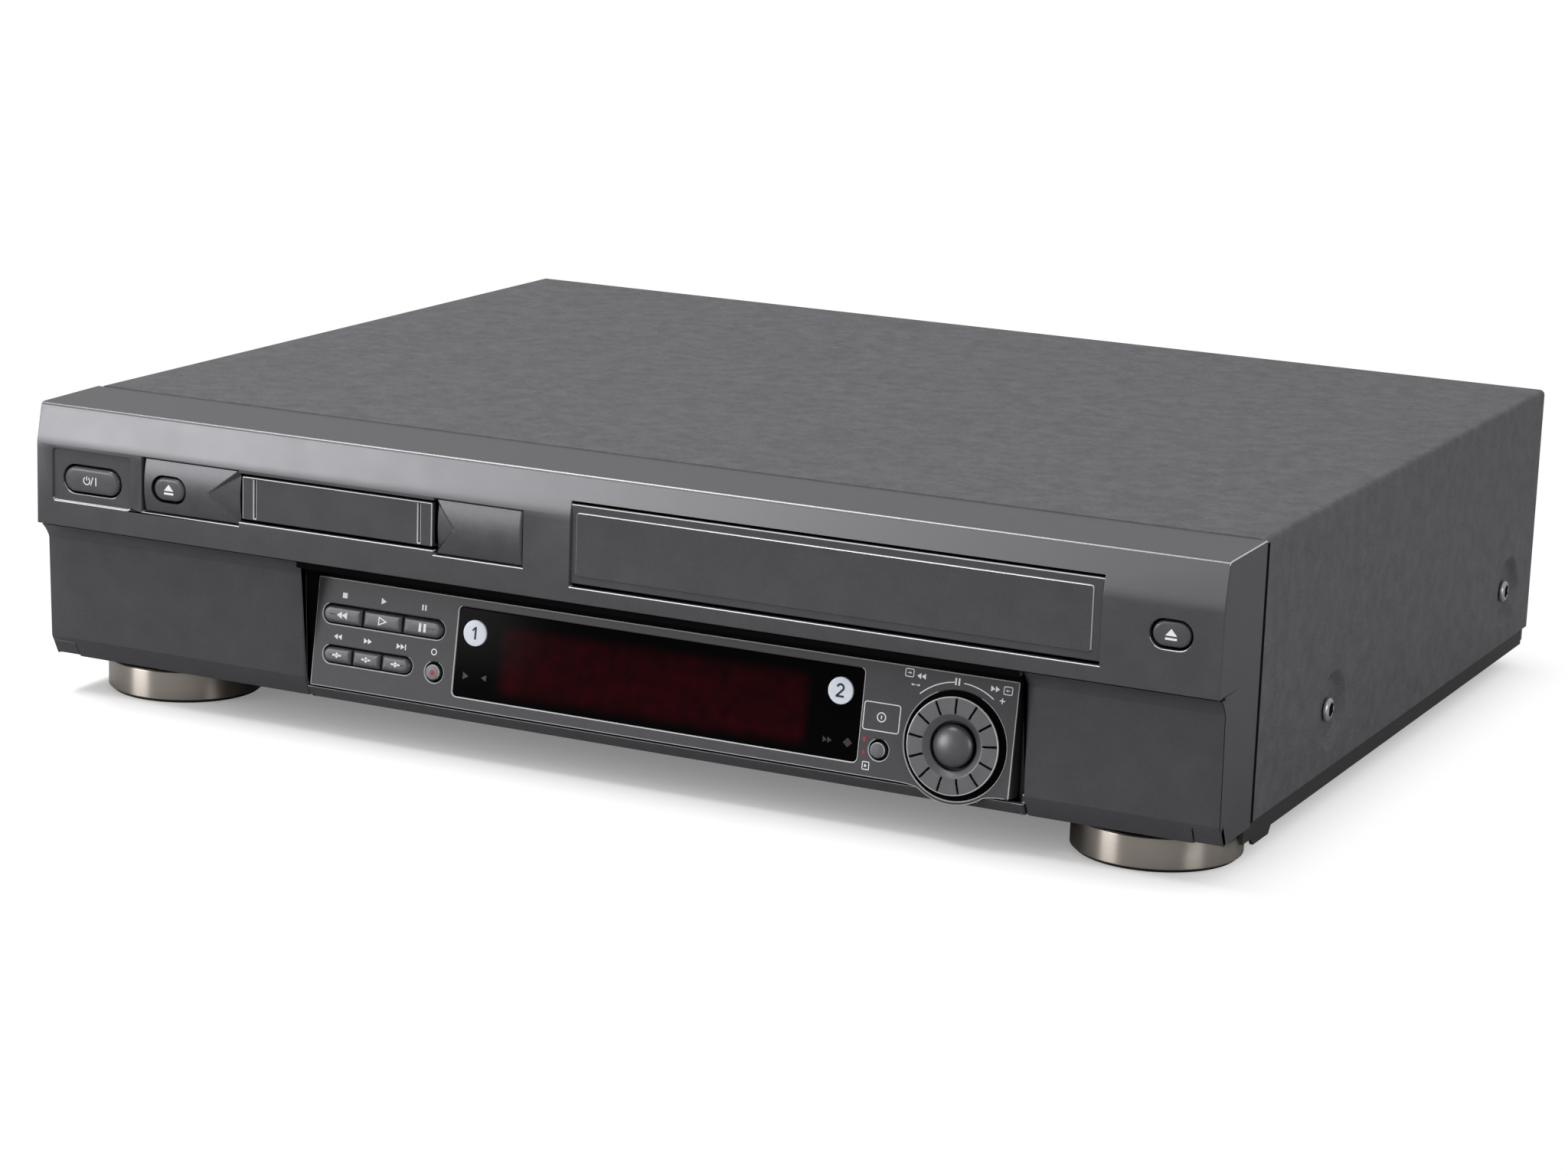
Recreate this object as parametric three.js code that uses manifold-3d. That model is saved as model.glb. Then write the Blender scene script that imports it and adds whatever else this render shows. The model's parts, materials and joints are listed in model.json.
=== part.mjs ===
// A dual-deck video cassette recorder in millimetres, with +Z up and the front towards -Y.
// Inside this file y = 0 is the flat front plane of the fascia and z = 0 is the surface it stands on.
// The exported group is moved back so that the middle of the whole depth lies over the origin.
import * as THREE from "three";
import { mergeVertices } from "three/addons/utils/BufferGeometryUtils.js";
import { ConvexGeometry } from "three/addons/geometries/ConvexGeometry.js";
import Module from "manifold-3d";

const wasm = await Module();
wasm.setup();

// General clearances
const fitGap = 0.3; // between neighbouring pieces that touch on the real object
const overrun = 1; // how far a cutting tool runs past the face it cuts
const weld = 0.4; // how far two parts of one piece run into each other

// Cassettes
const cassetteWidth = 188.4;
const cassetteThickness = 25.6;
const cassetteDepth = 102;
const smallCassetteWidth = 67;
const smallCassetteThickness = 13;
const smallCassetteDepth = 50;

// Front, from the left end to the right end; these widths add up to the fascia's
const leftColumn = 45.7; // holds the power button
const leftPlateSpan = 41.3; // the plate left of the small door
const smallDoorMargin = 6.5; // from a small cassette to the ends of its door
const rightPlateSpan = 35.5;
const deckSpacing = 18.2; // from the small deck's plates to the cassette door
const cassetteDoorMargin = 2.45; // from a cassette to the ends of its door
const rightColumn = 41; // holds the eject button
const smallDoorWidth = smallCassetteWidth + 2 * smallDoorMargin;
const cassetteDoorWidth = cassetteWidth + 2 * cassetteDoorMargin;
const smallDeckSpan = leftPlateSpan + smallDoorWidth + rightPlateSpan;
const fasciaWidth = leftColumn + smallDeckSpan + deckSpacing + cassetteDoorWidth + rightColumn;
const halfFascia = fasciaWidth / 2;

// Control panel, tilted: its own axes are X across, Y into the case and Z up its face
const panelHeight = 40.4;
const panelThickness = 2.5;
const panelFootSetback = 8;
const panelFootHeight = 19;
const panelTilt = (8.5 * Math.PI) / 180;
const panelTopGap = 6.34; // from the panel's upper edge to the step over it

// Fascia, seen from the side
const fasciaDepth = 37.5;
const fasciaWall = 2.5;
const stepHeight = panelFootHeight + panelHeight * Math.cos(panelTilt) + panelTopGap;
const cassetteDoorSill = 5.5; // from the step to the cassette door
const cassetteDoorHeadroom = 4.1; // more than a cassette's thickness
const cassetteDoorHead = 9.1; // from the cassette door to the top front edge
const cassetteDoorBottom = stepHeight + cassetteDoorSill;
const cassetteDoorTop = cassetteDoorBottom + cassetteThickness + cassetteDoorHeadroom;
const fasciaTopFront = cassetteDoorTop + cassetteDoorHead;
const fasciaTopRise = 0.6; // towards the back
const fasciaTopBack = fasciaTopFront + fasciaTopRise;
const topEdgeSetback = 2.6;
const topEdgeRadius = 1.8;
const kneeDrop = 14.3;
const kneeHeight = fasciaTopFront - kneeDrop; // where the sloping upper face meets the upright face
const coveSetback = 2.6; // where the lower face starts, right under the step
const coveDepth = 4.2; // how far the cove leads back below the step
const coveHeight = 5.4;
const coveBackShare = 0.8; // where the curve of the cove is pulled to
const coveDownShare = 0.4;
const lowerFaceSetback = 8.1; // foot of the lower face
const bevelHeight = 21.5; // where the bottom bevel starts
const bevelSetback = 11.9;
const fasciaBottom = 14;
const cheekWidth = 9.7; // fixed end pieces behind the flaps' outer ends, with their hinge lugs
const cheekWall = 1.7;
const cheekLift = 0.5; // the end pieces stop a little above the flaps' lower edge
const cheekLugRadius = 4.4; // rounded lug under a flap's outer end, around its axis
const cheekLugGap = 0.4; // from the lug to the flap

// Control recess in the fascia
const leftBaySpan = 110.6; // from the fascia's left end to the recess
const rightBaySpan = 68.5;
const recessLeft = leftBaySpan - halfFascia;
const recessRight = halfFascia - rightBaySpan;
const shelfThickness = 2.2;
const shelfSetback = 1.2;
const dividerSetback = 16.5;
const dividerGap = 0.5; // from the panel to a divider
const hingeLugDepth = 5.4; // lug of a divider that takes a flap's pin
const hingeLugTop = 21;
const hingeLugThickness = 1.3;
const recessScreenBottom = 50; // lower edge of the wall that closes the recess above the panel
const railTop = 18.3;
const railSetback = 8.7;
const railThickness = 2.5;
const bayDepth = 30; // front plane to the back wall of the compartments
const bayWall = 2;
const bayFloorSetback = 18.4;

// Top cover, a bent steel sheet
const coverStepIn = 1.1; // from the fascia's ends to the cover's sides
const halfCover = halfFascia - coverStepIn;
const coverStepUp = 0.3; // above the fascia's rear edge
const coverTop = fasciaTopBack + coverStepUp;
const coverBottom = 15;
const coverFront = 38;
const coverBack = 366;
const coverSheet = 1;
const coverBendRadius = 2;
const dimpleRadius = 14;
const dimpleFloorRadius = 11;
const dimpleDepth = 2.2;
const dimpleHeight = 35.5;
const frontDimple = 120;
const rearDimple = 333.5;
const screwHoleRadius = 2.2;

// Cover screws
const screwHeadRadius = 4.2;
const screwHeadHeight = 1.6;
const screwShankRadius = 1.8;
const screwLength = 9;
const screwSocketRadius = 2;
const screwSocketDepth = 1.1;

// Chassis pan
const chassisSheet = 1.2;
const chassisBottom = 8;
const chassisRaised = 12.6; // underside of the raised front over the big feet
const chassisLedge = 74; // where the raised front ends
const chassisInset = 1.3; // from the cover's outside to the pan's outside
const chassisJogHeight = 17.5;
const chassisJog = 2.4;
const chassisFlangeTop = 58;
const bumpFront = 46; // bump on a flange's lower edge
const bumpBack = 66;
const bumpHeight = 2.6;
const spacerRadius = 3.2;

// Front feet
const footInset = 34.5; // from the fascia's ends to the feet's axes
const footX = halfFascia - footInset;
const footY = 44.6;
const footRadius = 28.8;
const footHeight = 11.8;
const footPadHeight = 1.2;
const footPadInset = 1.2;
const footWall = 2;
const footNeckRadius = 21;
const footEdge = 0.6;

// Rear feet
const rearFootInset = 23.4; // from the cover's sides to the feet's axes
const rearFootX = halfCover - rearFootInset;
const rearFootY = 335;
const rearFootRadius = 10;
const rearFootTaper = 1;

// Rear panel
const rearSheet = 1;
const rearPanelInset = 1; // behind the cover's rear edge
const rearPanelTopGap = 1.5; // from the cover's top
const rearPanelTop = coverTop - rearPanelTopGap;
const rearPanelBottom = 9.6;
const rearPanelSideGap = 5.4; // from the cover's sides
const rearPanelHalfWidth = halfCover - rearPanelSideGap;

// Cassette door
const cassetteDoorRight = halfFascia - rightColumn;
const cassetteDoorLeft = cassetteDoorRight - cassetteDoorWidth;
const doorGap = 0.9; // the dark line around both loading doors
const doorSetback = 0.8;
const doorThickness = 2.2;
const doorRaise = 0.5;
const raisedInsetLeft = 4.2;
const raisedInsetRight = 5.5;
const raisedInsetEnd = 4; // above and below the raised field
const raisedCorner = 1.2;
const doorAxisSetback = 3.4;
const doorAxisDrop = 1.7; // below the top of the opening
const doorBarrelRadius = 1.2;
const doorPinRadius = 0.9;
const doorPinLength = 2;
const hingeEarWidth = 2.2;
const hingeEarRadius = 2.6;
const hingeBoreRadius = 1.2;

// Small cassette door and the plates on either side of it
const leftPlateOuter = leftColumn - halfFascia;
const smallDoorLeft = leftPlateOuter + leftPlateSpan;
const smallDoorRight = smallDoorLeft + smallDoorWidth;
const rightPlateOuter = smallDoorRight + rightPlateSpan;
const smallDoorSill = 11.1; // from the step to the small door
const smallDoorHeadroom = 4.6; // more than a small cassette's thickness
const smallDoorBottom = stepHeight + smallDoorSill;
const smallDoorTop = smallDoorBottom + smallCassetteThickness + smallDoorHeadroom;
const smallGrooveInset = 5.2;
const smallGrooveWidth = 0.7;
const smallGrooveDepth = 0.5;
const plateDrop = 1.5; // below the small door
const plateRise = 0.9; // above the small door
const plateBottom = smallDoorBottom - plateDrop;
const plateTop = smallDoorTop + plateRise;
const plateLip = 1.4; // hidden rim that holds a plate behind the fascia wall
const plateLipThickness = 1;
const plateDoorGap = 0.6; // from a plate to the small door's opening
const leftScoopReach = 12.5; // from the scoop's point to the door
const rightScoopReach = 7.8;
const scoopDepth = 2;

// Flap doors over the lower compartments
const flapThickness = 2.2;
const flapTopGap = 0.9; // under the step
const flapTop = stepHeight - flapTopGap;
const flapSideGap = 0.3;
const flapEndInset = 0.2; // from the fascia's ends to the flaps' outer ends
const flapBackGap = 0.4; // from a flap to the end piece behind it
const flapAxisSetback = 13.4;
const flapAxisHeight = 18.4;
const flapEarRadius = 2.2;
const flapEarWidth = 2;
const flapPinRadius = 1;
const flapPinLength = 1.2;
const flapBoreRadius = 1.3;

// Control panel's ends, posts and board
const panelGapLeft = 1.6; // from the recess to the panel
const panelGapRight = 4.8;
const panelLeft = recessLeft + panelGapLeft;
const panelRight = recessRight - panelGapRight;
const panelPostRadius = 2.4;
const postInset = 3.6;
const boardSetback = 9.6;
const boardThickness = 1.6;

// Display window and the display behind it
const keyField = 57.8; // width of the panel left of the window
const dialField = 55.2; // width of the panel right of the window
const windowLeft = panelLeft + keyField;
const windowRight = panelRight - dialField;
const windowBottom = 4.2;
const windowTopMargin = 4.2;
const windowTop = panelHeight - windowTopMargin;
const windowCorner = 1.6;
const windowRecess = 0.3;
const windowThickness = 1.6;
const tubeInsetLeft = 19.5; // from the window's ends to the display
const tubeInsetRight = 23;
const displayTubeLeft = windowLeft + tubeInsetLeft;
const displayTubeRight = windowRight - tubeInsetRight;
const displayTubeBottom = 10;
const tubeInsetTop = 3.2;
const displayTubeTop = windowTop - tubeInsetTop;
const displayTubeDepth = 6;

// Lit deck buttons in the window
const lampRadius = 5.1;
const leftLampInset = 7.2; // from the window's ends to the lamps
const rightLampInset = 8.4;
const leftLampX = windowLeft + leftLampInset;
const rightLampX = windowRight - rightLampInset;
const lampDrop = 8.8; // below the window's upper edge
const lampHeight = windowTop - lampDrop;
const lampTravel = 0.8;
const lampProud = 0.4;
const windowLedge = 1.5;

// Transport buttons
const keyTravel = 0.8;
const keyProud = 1.1;
const keyGap = 0.5;
const keyFlange = 0.9; // rim that stops a key behind the panel
const keyFlangeThickness = 0.8;
const keyEdge = 0.5;
const topRowInset = 3.3; // from the panel's left end
const topRowLeft = panelLeft + topRowInset;
const topRowKey = 16.4;
const topRowHeight = 6.2;
const topRowDrop = 13.9; // below the panel's upper edge
const topRowCentre = panelHeight - topRowDrop;
const lowRowInset = 4.7;
const lowRowLeft = panelLeft + lowRowInset;
const lowRowKey = 12;
const lowRowHeight = 5.6;
const lowRowCentre = 12.1;
const pocketGap = 0.8;
const recordInset = 7.8; // from the record key to the window
const recordX = windowLeft - recordInset;
const recordHeight = 11.5;
const recordRadius = 3.2;
const recordPocketRadius = 4.1;
const selectInset = 7.5; // from the window to the select key
const selectX = windowRight + selectInset;
const selectHeight = 9.7;
const selectRadius = 3.1;
const selectPocketRadius = 3.9;
const stemRadius = 1.6;

// Shuttle ring and jog dial
const dialInset = 20.7; // from the panel's right end
const dialX = panelRight - dialInset;
const dialHeight = 15.2;
const hubRadius = 19.8;
const hubProud = 0.8;
const dialPocketRadius = 18.3;
const dialPocketDepth = 1.6;
const ringRadius = 17;
const ringInnerRadius = 8.2;
const ringProud = 2.4;
const ringEdge = 0.8;
const dishRadius = 10.5;
const dishDepth = 1.2;
const tickWidth = 0.6;
const tickDepth = 0.5;
const tickInset = 0.6;
const tickCount = 13;
const jogRadius = 7.3;
const jogRise = 2.2;
const jogSide = 0.9; // straight skirt under the dome
const jogCrown = 1; // material over the shaft's bore
const wellFloor = 0.2; // floor of the ring's well, in front of the panel's face
const sleeveWall = 1.3;
const sleeveReach = 2; // behind the panel
const jogTravel = 0.8;
const shaftRadius = 2;
const shaftCollarRadius = 4.4;
const sleeveRadius = 6.2; // tube of the shuttle ring in the panel's bore

// Upper buttons
const buttonProud = 0.6; // the foremost face of the recorder
const buttonEdge = 0.7;
const buttonFlange = 1.3;
const buttonFlangeThickness = 1;
const powerShift = 0.95; // right of the middle of its column
const powerX = (leftPlateOuter - halfFascia) / 2 + powerShift;
const powerRise = 18; // above the step
const powerHeight = stepHeight + powerRise;
const powerWidth = 24;
const powerCapHeight = 9.4;
const powerRecessDepth = 0.8;
const powerProud = 0.9; // above the floor of its recess
const buttonPocketGap = 0.7;
const powerRecessMargin = 4.9; // from the button's ends to the recess's
const powerRecessLeft = powerX - powerWidth / 2 - powerRecessMargin;
const powerRecessRight = powerX + powerWidth / 2 + powerRecessMargin;
const powerRecessBelow = 4; // from the button's edges to the recess's
const powerRecessAbove = 5.8;
const powerRecessBottom = powerHeight - powerCapHeight / 2 - powerRecessBelow;
const powerRecessTop = powerHeight + powerCapHeight / 2 + powerRecessAbove;
const powerRecessCorner = 1.4;
const ejectWidth = 13.4;
const ejectCapHeight = 8.6;
const ejectShift = 3.1; // right of the middle of its column
const ejectX = (cassetteDoorRight + halfFascia) / 2 + ejectShift;
const ejectRise = 19.1; // above the step
const ejectHeight = stepHeight + ejectRise;
const smallEjectInset = 11.6; // from the left plate's outer end
const smallEjectX = leftPlateOuter + smallEjectInset;
const smallEjectRise = 19;
const smallEjectHeight = stepHeight + smallEjectRise;

// Sockets in the left compartment
const frontSocketInset = 37.5; // from the fascia's left end
const frontSocketX = frontSocketInset - halfFascia;
const frontSocketPitch = 16;
const frontSocketHeight = 38;
const frontSocketCount = 4;
const frontBarrelRadius = 4.6;
const frontBarrelReach = 5.5;
const frontBlockDepth = 12;
const frontBlockHeight = 14;
const phonoBoreRadius = 1.7;
const phonoBoreDepth = 9;

// Main board
const boardWidth = 248;
const boardEndGap = 19.5; // from the fascia's right end
const boardRight = halfFascia - boardEndGap;
const boardLeft = boardRight - boardWidth;
const boardFront = 100;
const boardBack = 362;
const boardUnderside = 16;
const boardSpacerInset = 9;
const chipWidth = 28;
const chipHeight = 3;
const chipPitch = 62;
const chipCount = 4;

// Power supply
const supplyWidth = 94;
const supplyEndGap = 13.5; // from the fascia's left end
const supplyLeft = supplyEndGap - halfFascia;
const supplyRight = supplyLeft + supplyWidth;
const supplyFront = 190;
const supplyBack = 346;
const transformerWidth = 42;
const transformerLength = 38;
const transformerHeight = 34;
const capacitorRadius = 11;
const capacitorHeight = 40;
const sinkWidth = 60;
const sinkHeight = 42;
const sinkThickness = 3;
const finLength = 9;
const finCount = 6;

// Rear connectors
const inletInset = 29; // from the power supply's left edge
const inletX = supplyLeft + inletInset;
const inletWidth = 24;
const inletHeight = 16;
const inletLift = 6;
const inletDepth = 18;
const inletMouthWidth = 18;
const inletMouthHeight = 9;
const inletMouthDepth = 12;
const inletPinRadius = 1;
const inletPinPitch = 8;
const phonoInset = 32; // from the main board's left edge, as the next two
const phonoX = boardLeft + phonoInset;
const phonoPitch = 15;
const phonoColumns = 3;
const phonoRadius = 4.3;
const phonoReach = 7;
const phonoDepth = 13;
const phonoLift = 12;
const scartInset = 110;
const scartX = boardLeft + scartInset;
const scartWidth = 56;
const scartShell = 19;
const scartMouthWidth = 42;
const scartMouthHeight = 13;
const scartMouthDepth = 13;
const scartDepth = 18;
const scartReach = 2;
const tunerInset = 190;
const tunerX = boardLeft + tunerInset;
const tunerWidth = 58;
const tunerHeight = 26;
const tunerDepth = 40;
const aerialPitch = 26;
const aerialRadius = 4.8;
const aerialBoreRadius = 2;
const aerialReach = 6;

// Cassette deck: plate, drum and reels
const deckX = (cassetteDoorLeft + cassetteDoorRight) / 2;
const deckMargin = 7.8; // from a cassette to the ends of the plate
const deckHalfWidth = cassetteWidth / 2 + deckMargin;
const deckFront = 44;
const deckBack = 290;
const deckHeight = 38;
const deckSheet = 1.6;
const deckLegRadius = 4;
const deckLegInset = 5;
const drumY = 224;
const drumRadius = 31;
const drumBaseHeight = 16;
const drumRotorHeight = 18;
const drumShaftRadius = 3;
const drumShaftLength = 10;
const drumGroove = 1;
const reelPitch = 92;
const reelY = 132;
const reelDiscRadius = 17;
const reelDiscHeight = 3;
const reelPostRadius = 4.4;
const reelPostHeight = 16;
const reelPinRadius = 1.5;
const reelPinHeight = 6;
const splineCount = 6;
const splineHeight = 1.2;

// Capstan and pinch roller
const capstanOffset = 52.15; // from the middle of the deck
const capstanX = deckX + capstanOffset;
const capstanY = 202;
const capstanRadius = 1.6;
const capstanTop = 64;
const bearingRadius = 6;
const bearingHeight = 9;
const flywheelRadius = 32;
const flywheelHeight = 7;
const flywheelDrop = 2.5;
const pinchPivotOffset = 82.15; // from the middle of the deck
const pinchPivotX = deckX + pinchPivotOffset;
const pinchPivotY = 212;
const pinchArmLength = 22;
const pinchRestAngle = (160 * Math.PI) / 180;
const pinchArmWidth = 9;
const pinchArmThickness = 2;
const pinchArmHeight = 47;
const pinchRollerRadius = 7.5;
const pinchRollerHeight = 13;
const pinchPostRadius = 2.5;
const pinchPinRadius = 1.5;
const pinchPinHeadRadius = 3;

// Loading drive
const camInset = 26.15; // from the deck plate's left edge
const camX = deckX - deckHalfWidth + camInset;
const camY = 214;
const camRadius = 20;
const camHeight = 4.4;
const camLift = 8;
const camHubRadius = 6;
const camPostRadius = 2.5;
const camTeeth = 36;
const toothDepth = 1.4;
const wormRadius = 4;
const wormGroove = 0.9;
const wormTurns = 7;
const wormLength = 21;
const motorRadius = 9;
const motorLength = 25;
const motorShaftRadius = 1;
const motorShaftReach = 6;
const motorFootWidth = 12;

// Cassette carriage
const carriageSheet = 1;
const basketFront = 38.5;
const basketSill = 0.9; // under the cassette door's opening
const basketFloor = cassetteDoorBottom - basketSill;
const basketRail = 12;
const trolleyFront = 62;
const trolleyLength = 64;
const trolleyBar = 12;
const trolleyDrop = 7.9; // below the basket's floor
const trolleyBottom = basketFloor - trolleyDrop;
const frameLength = 140;
const frameFront = 48;
const frameBar = 14;

// Small cassette deck
const smallX = (smallDoorLeft + smallDoorRight) / 2;
const smallDeckSill = 10.4; // under the small door's opening
const smallDeckHeight = smallDoorBottom - smallDeckSill;
const smallDeckSheet = 1.2;
const smallDeckMargin = 14.5; // from a small cassette to the ends of the plate
const smallDeckHalfWidth = smallCassetteWidth / 2 + smallDeckMargin;
const smallDeckFront = 46;
const smallDeckBack = 150;
const smallLegRadius = 3.5;
const smallLegInset = 4.5;
const smallBasketFront = 40;
const smallBasketSill = 1.2; // over the foot of the small door's opening
const smallBasketFloor = smallDoorBottom + smallBasketSill;
const smallBasketRail = 6;
const smallGuideRise = 14.4; // above the small basket's floor
const smallGuideTop = smallBasketFloor + smallGuideRise;
const smallDrumY = 122;
const smallDrumRadius = 10.9;
const smallDrumBase = 5;
const smallDrumHeight = 9;
const smallShaftRadius = 1.5;
const smallShaftLength = 4;

// How finely round things are divided
const fineSides = 40;
const roundSides = 24;
const keySides = 20;
const smallSides = 12;
const tinySides = 8;
const cornerSegments = 5;
const hubSides = 64;
const domeRings = 4;

const rearPanelFace = coverBack - rearPanelInset;
const rearReach = rearPanelFace + phonoReach;
const boardTop = boardUnderside + boardThickness;
const deckTop = deckHeight + deckSheet;

// Paints and metals
const graphitePaint = { color: 0x5a5a5d, roughness: 0.5, metalness: 0.1 };
const facePlastic = { color: 0x4c4c4f, roughness: 0.45, metalness: 0 };
const keyPlastic = { color: 0x5e5e61, roughness: 0.4, metalness: 0 };
const blackPlastic = { color: 0x17171a, roughness: 0.5, metalness: 0 };
const darkGlass = { color: 0x08080a, roughness: 0.1, metalness: 0 };
const lampPlastic = { color: 0xd8deea, roughness: 0.4, metalness: 0 };
const satinMetal = { color: 0x8a827b, roughness: 0.25, metalness: 1 };
const zincSteel = { color: 0xb4b6b8, roughness: 0.4, metalness: 0.9 };
const drumMetal = { color: 0xc8cacc, roughness: 0.2, metalness: 1 };
const boardGreen = { color: 0x2f5a3c, roughness: 0.6, metalness: 0 };
const whitePlastic = { color: 0xd9d7cf, roughness: 0.5, metalness: 0 };
const rubberBlack = { color: 0x1c1c1d, roughness: 0.9, metalness: 0 };

const recorder = new THREE.Group();
recorder.position.y = (buttonProud - rearReach) / 2;

// The tilted frame of the control panel
const panelFrame = new THREE.Group();
panelFrame.position.set(0, panelFootSetback, panelFootHeight);
panelFrame.rotation.x = -panelTilt;
recorder.add(panelFrame);

// A closed geometry as a solid that can be cut and joined
function solid(geometry) {
  const bare = geometry.clone();
  bare.deleteAttribute("normal");
  bare.deleteAttribute("uv");
  const merged = mergeVertices(bare);
  const index = merged.index.array;
  const triangles = [];
  for (let i = 0; i < index.length; i += 3) {
    const [a, b, c] = [index[i], index[i + 1], index[i + 2]];
    if (a !== b && b !== c && c !== a) triangles.push(a, b, c);
  }
  const made = (order) =>
    new wasm.Manifold(
      new wasm.Mesh({
        numProp: 3,
        vertProperties: merged.attributes.position.array,
        triVerts: new Uint32Array(order),
      }),
    );
  const first = made(triangles);
  return first.volume() > 0 ? first : made(triangles.reverse());
}

// A block between two values along each axis
function block(x0, x1, y0, y1, z0, z1) {
  const geometry = new THREE.BoxGeometry(Math.abs(x1 - x0), Math.abs(y1 - y0), Math.abs(z1 - z0));
  geometry.translate((x0 + x1) / 2, (y0 + y1) / 2, (z0 + z1) / 2);
  return solid(geometry);
}

// Turns a geometry that was made along Y so that it lies along another axis
function lay(geometry, axis) {
  if (axis === "z") geometry.rotateX(Math.PI / 2);
  if (axis === "x") geometry.rotateZ(-Math.PI / 2);
  return geometry;
}

// A round bar along an axis, from one station to another; u and v are its other two coordinates
function bar(axis, radius, from, to, u, v, sides = smallSides) {
  const geometry = lay(new THREE.CylinderGeometry(radius, radius, Math.abs(to - from), sides), axis);
  const middle = (from + to) / 2;
  if (axis === "x") geometry.translate(middle, u, v);
  if (axis === "y") geometry.translate(u, middle, v);
  if (axis === "z") geometry.translate(u, v, middle);
  return solid(geometry);
}

// A turned solid: profile is a list of [radius, station] pairs along the axis
function turned(axis, profile, u, v, sides = roundSides) {
  const points = profile.map(([radius, station]) => new THREE.Vector2(radius, station));
  const geometry = lay(new THREE.LatheGeometry(points, sides), axis);
  if (axis === "x") geometry.translate(0, u, v);
  if (axis === "y") geometry.translate(u, 0, v);
  if (axis === "z") geometry.translate(u, v, 0);
  return solid(geometry);
}

// An outline drawn in (y, z), pulled along X
function prismX(shape, x0, x1) {
  const geometry = new THREE.ExtrudeGeometry(shape, {
    depth: Math.abs(x1 - x0),
    bevelEnabled: false,
    curveSegments: cornerSegments,
  });
  const turn = new THREE.Matrix4().makeBasis(
    new THREE.Vector3(0, 1, 0),
    new THREE.Vector3(0, 0, 1),
    new THREE.Vector3(1, 0, 0),
  );
  geometry.applyMatrix4(turn);
  geometry.translate(Math.min(x0, x1), 0, 0);
  return solid(geometry);
}

// An outline drawn in (x, z), pulled along Y, with an optional bevel on the face towards the front
function prismY(shape, y0, y1, edge = 0) {
  const geometry = new THREE.ExtrudeGeometry(shape, {
    depth: y1 - y0 - edge,
    bevelEnabled: edge > 0,
    bevelThickness: edge,
    bevelSize: edge,
    bevelOffset: -edge,
    bevelSegments: 1,
    curveSegments: cornerSegments,
  });
  geometry.rotateX(Math.PI / 2);
  geometry.translate(0, y1, 0);
  const made = solid(geometry);
  if (edge === 0) return made;
  const wide = fasciaWidth;
  return made.subtract(block(-wide, wide, y1, y1 + edge + overrun, -wide, wide));
}

// An outline of straight lines through a list of points
function polygon(points) {
  return new THREE.Shape(points.map(([u, v]) => new THREE.Vector2(u, v)));
}

// A rectangle with round corners; a radius of half the height makes a pill
function roundedRectangle(u0, u1, v0, v1, radius) {
  const shape = new THREE.Shape();
  shape.moveTo(u0 + radius, v0);
  shape.lineTo(u1 - radius, v0);
  shape.absarc(u1 - radius, v0 + radius, radius, -Math.PI / 2, 0);
  shape.lineTo(u1, v1 - radius);
  shape.absarc(u1 - radius, v1 - radius, radius, 0, Math.PI / 2);
  shape.lineTo(u0 + radius, v1);
  shape.absarc(u0 + radius, v1 - radius, radius, Math.PI / 2, Math.PI);
  shape.lineTo(u0, v0 + radius);
  shape.absarc(u0 + radius, v0 + radius, radius, Math.PI, 1.5 * Math.PI);
  return shape;
}

function pill(x, z, width, height) {
  return roundedRectangle(x - width / 2, x + width / 2, z - height / 2, z + height / 2, height / 2);
}

// Adds a solid to the recorder as a named mesh
function piece(name, made, finish, parent = recorder) {
  const data = made.getMesh();
  const geometry = new THREE.BufferGeometry();
  geometry.setAttribute("position", new THREE.Float32BufferAttribute(data.vertProperties, 3));
  geometry.setIndex(Array.from(data.triVerts));
  const flat = geometry.toNonIndexed();
  flat.computeVertexNormals();
  const mesh = new THREE.Mesh(flat, new THREE.MeshStandardMaterial(finish));
  mesh.name = name;
  parent.add(mesh);
}

// A round tool along the panel's Y axis, turned into the recorder's frame for cuts in fixed pieces
function tiltedBar(radius, from, to, u, v) {
  const geometry = new THREE.CylinderGeometry(radius, radius, to - from, hubSides);
  geometry.translate(u, (from + to) / 2, v);
  panelFrame.updateMatrix();
  geometry.applyMatrix4(panelFrame.matrix);
  return solid(geometry);
}

// An outline drawn in (x, y), pulled up along Z
function prismZ(shape, z0, z1) {
  const geometry = new THREE.ExtrudeGeometry(shape, {
    depth: z1 - z0,
    bevelEnabled: false,
    curveSegments: cornerSegments,
  });
  geometry.translate(0, 0, z0);
  return solid(geometry);
}

// Joins a list of solids into one
function join(solids) {
  return solids.reduce((whole, next) => whole.add(next));
}

// Fascia outlines in (y, z)
function upperFace() {
  const shape = new THREE.Shape();
  shape.moveTo(fasciaDepth, fasciaTopBack);
  shape.lineTo(topEdgeSetback + topEdgeRadius, fasciaTopFront);
  shape.quadraticCurveTo(topEdgeSetback, fasciaTopFront, topEdgeSetback, fasciaTopFront - topEdgeRadius);
  shape.lineTo(0, kneeHeight);
  shape.lineTo(0, stepHeight);
  return shape;
}

function lowerFace(top, bottom) {
  const shape = new THREE.Shape();
  shape.moveTo(coveSetback, top);
  shape.quadraticCurveTo(
    coveSetback + coveBackShare * coveDepth,
    top - coveDownShare * coveHeight,
    coveSetback + coveDepth,
    top - coveHeight,
  );
  shape.lineTo(lowerFaceSetback, bevelHeight);
  shape.lineTo(bevelSetback, bottom);
  return shape;
}

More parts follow.
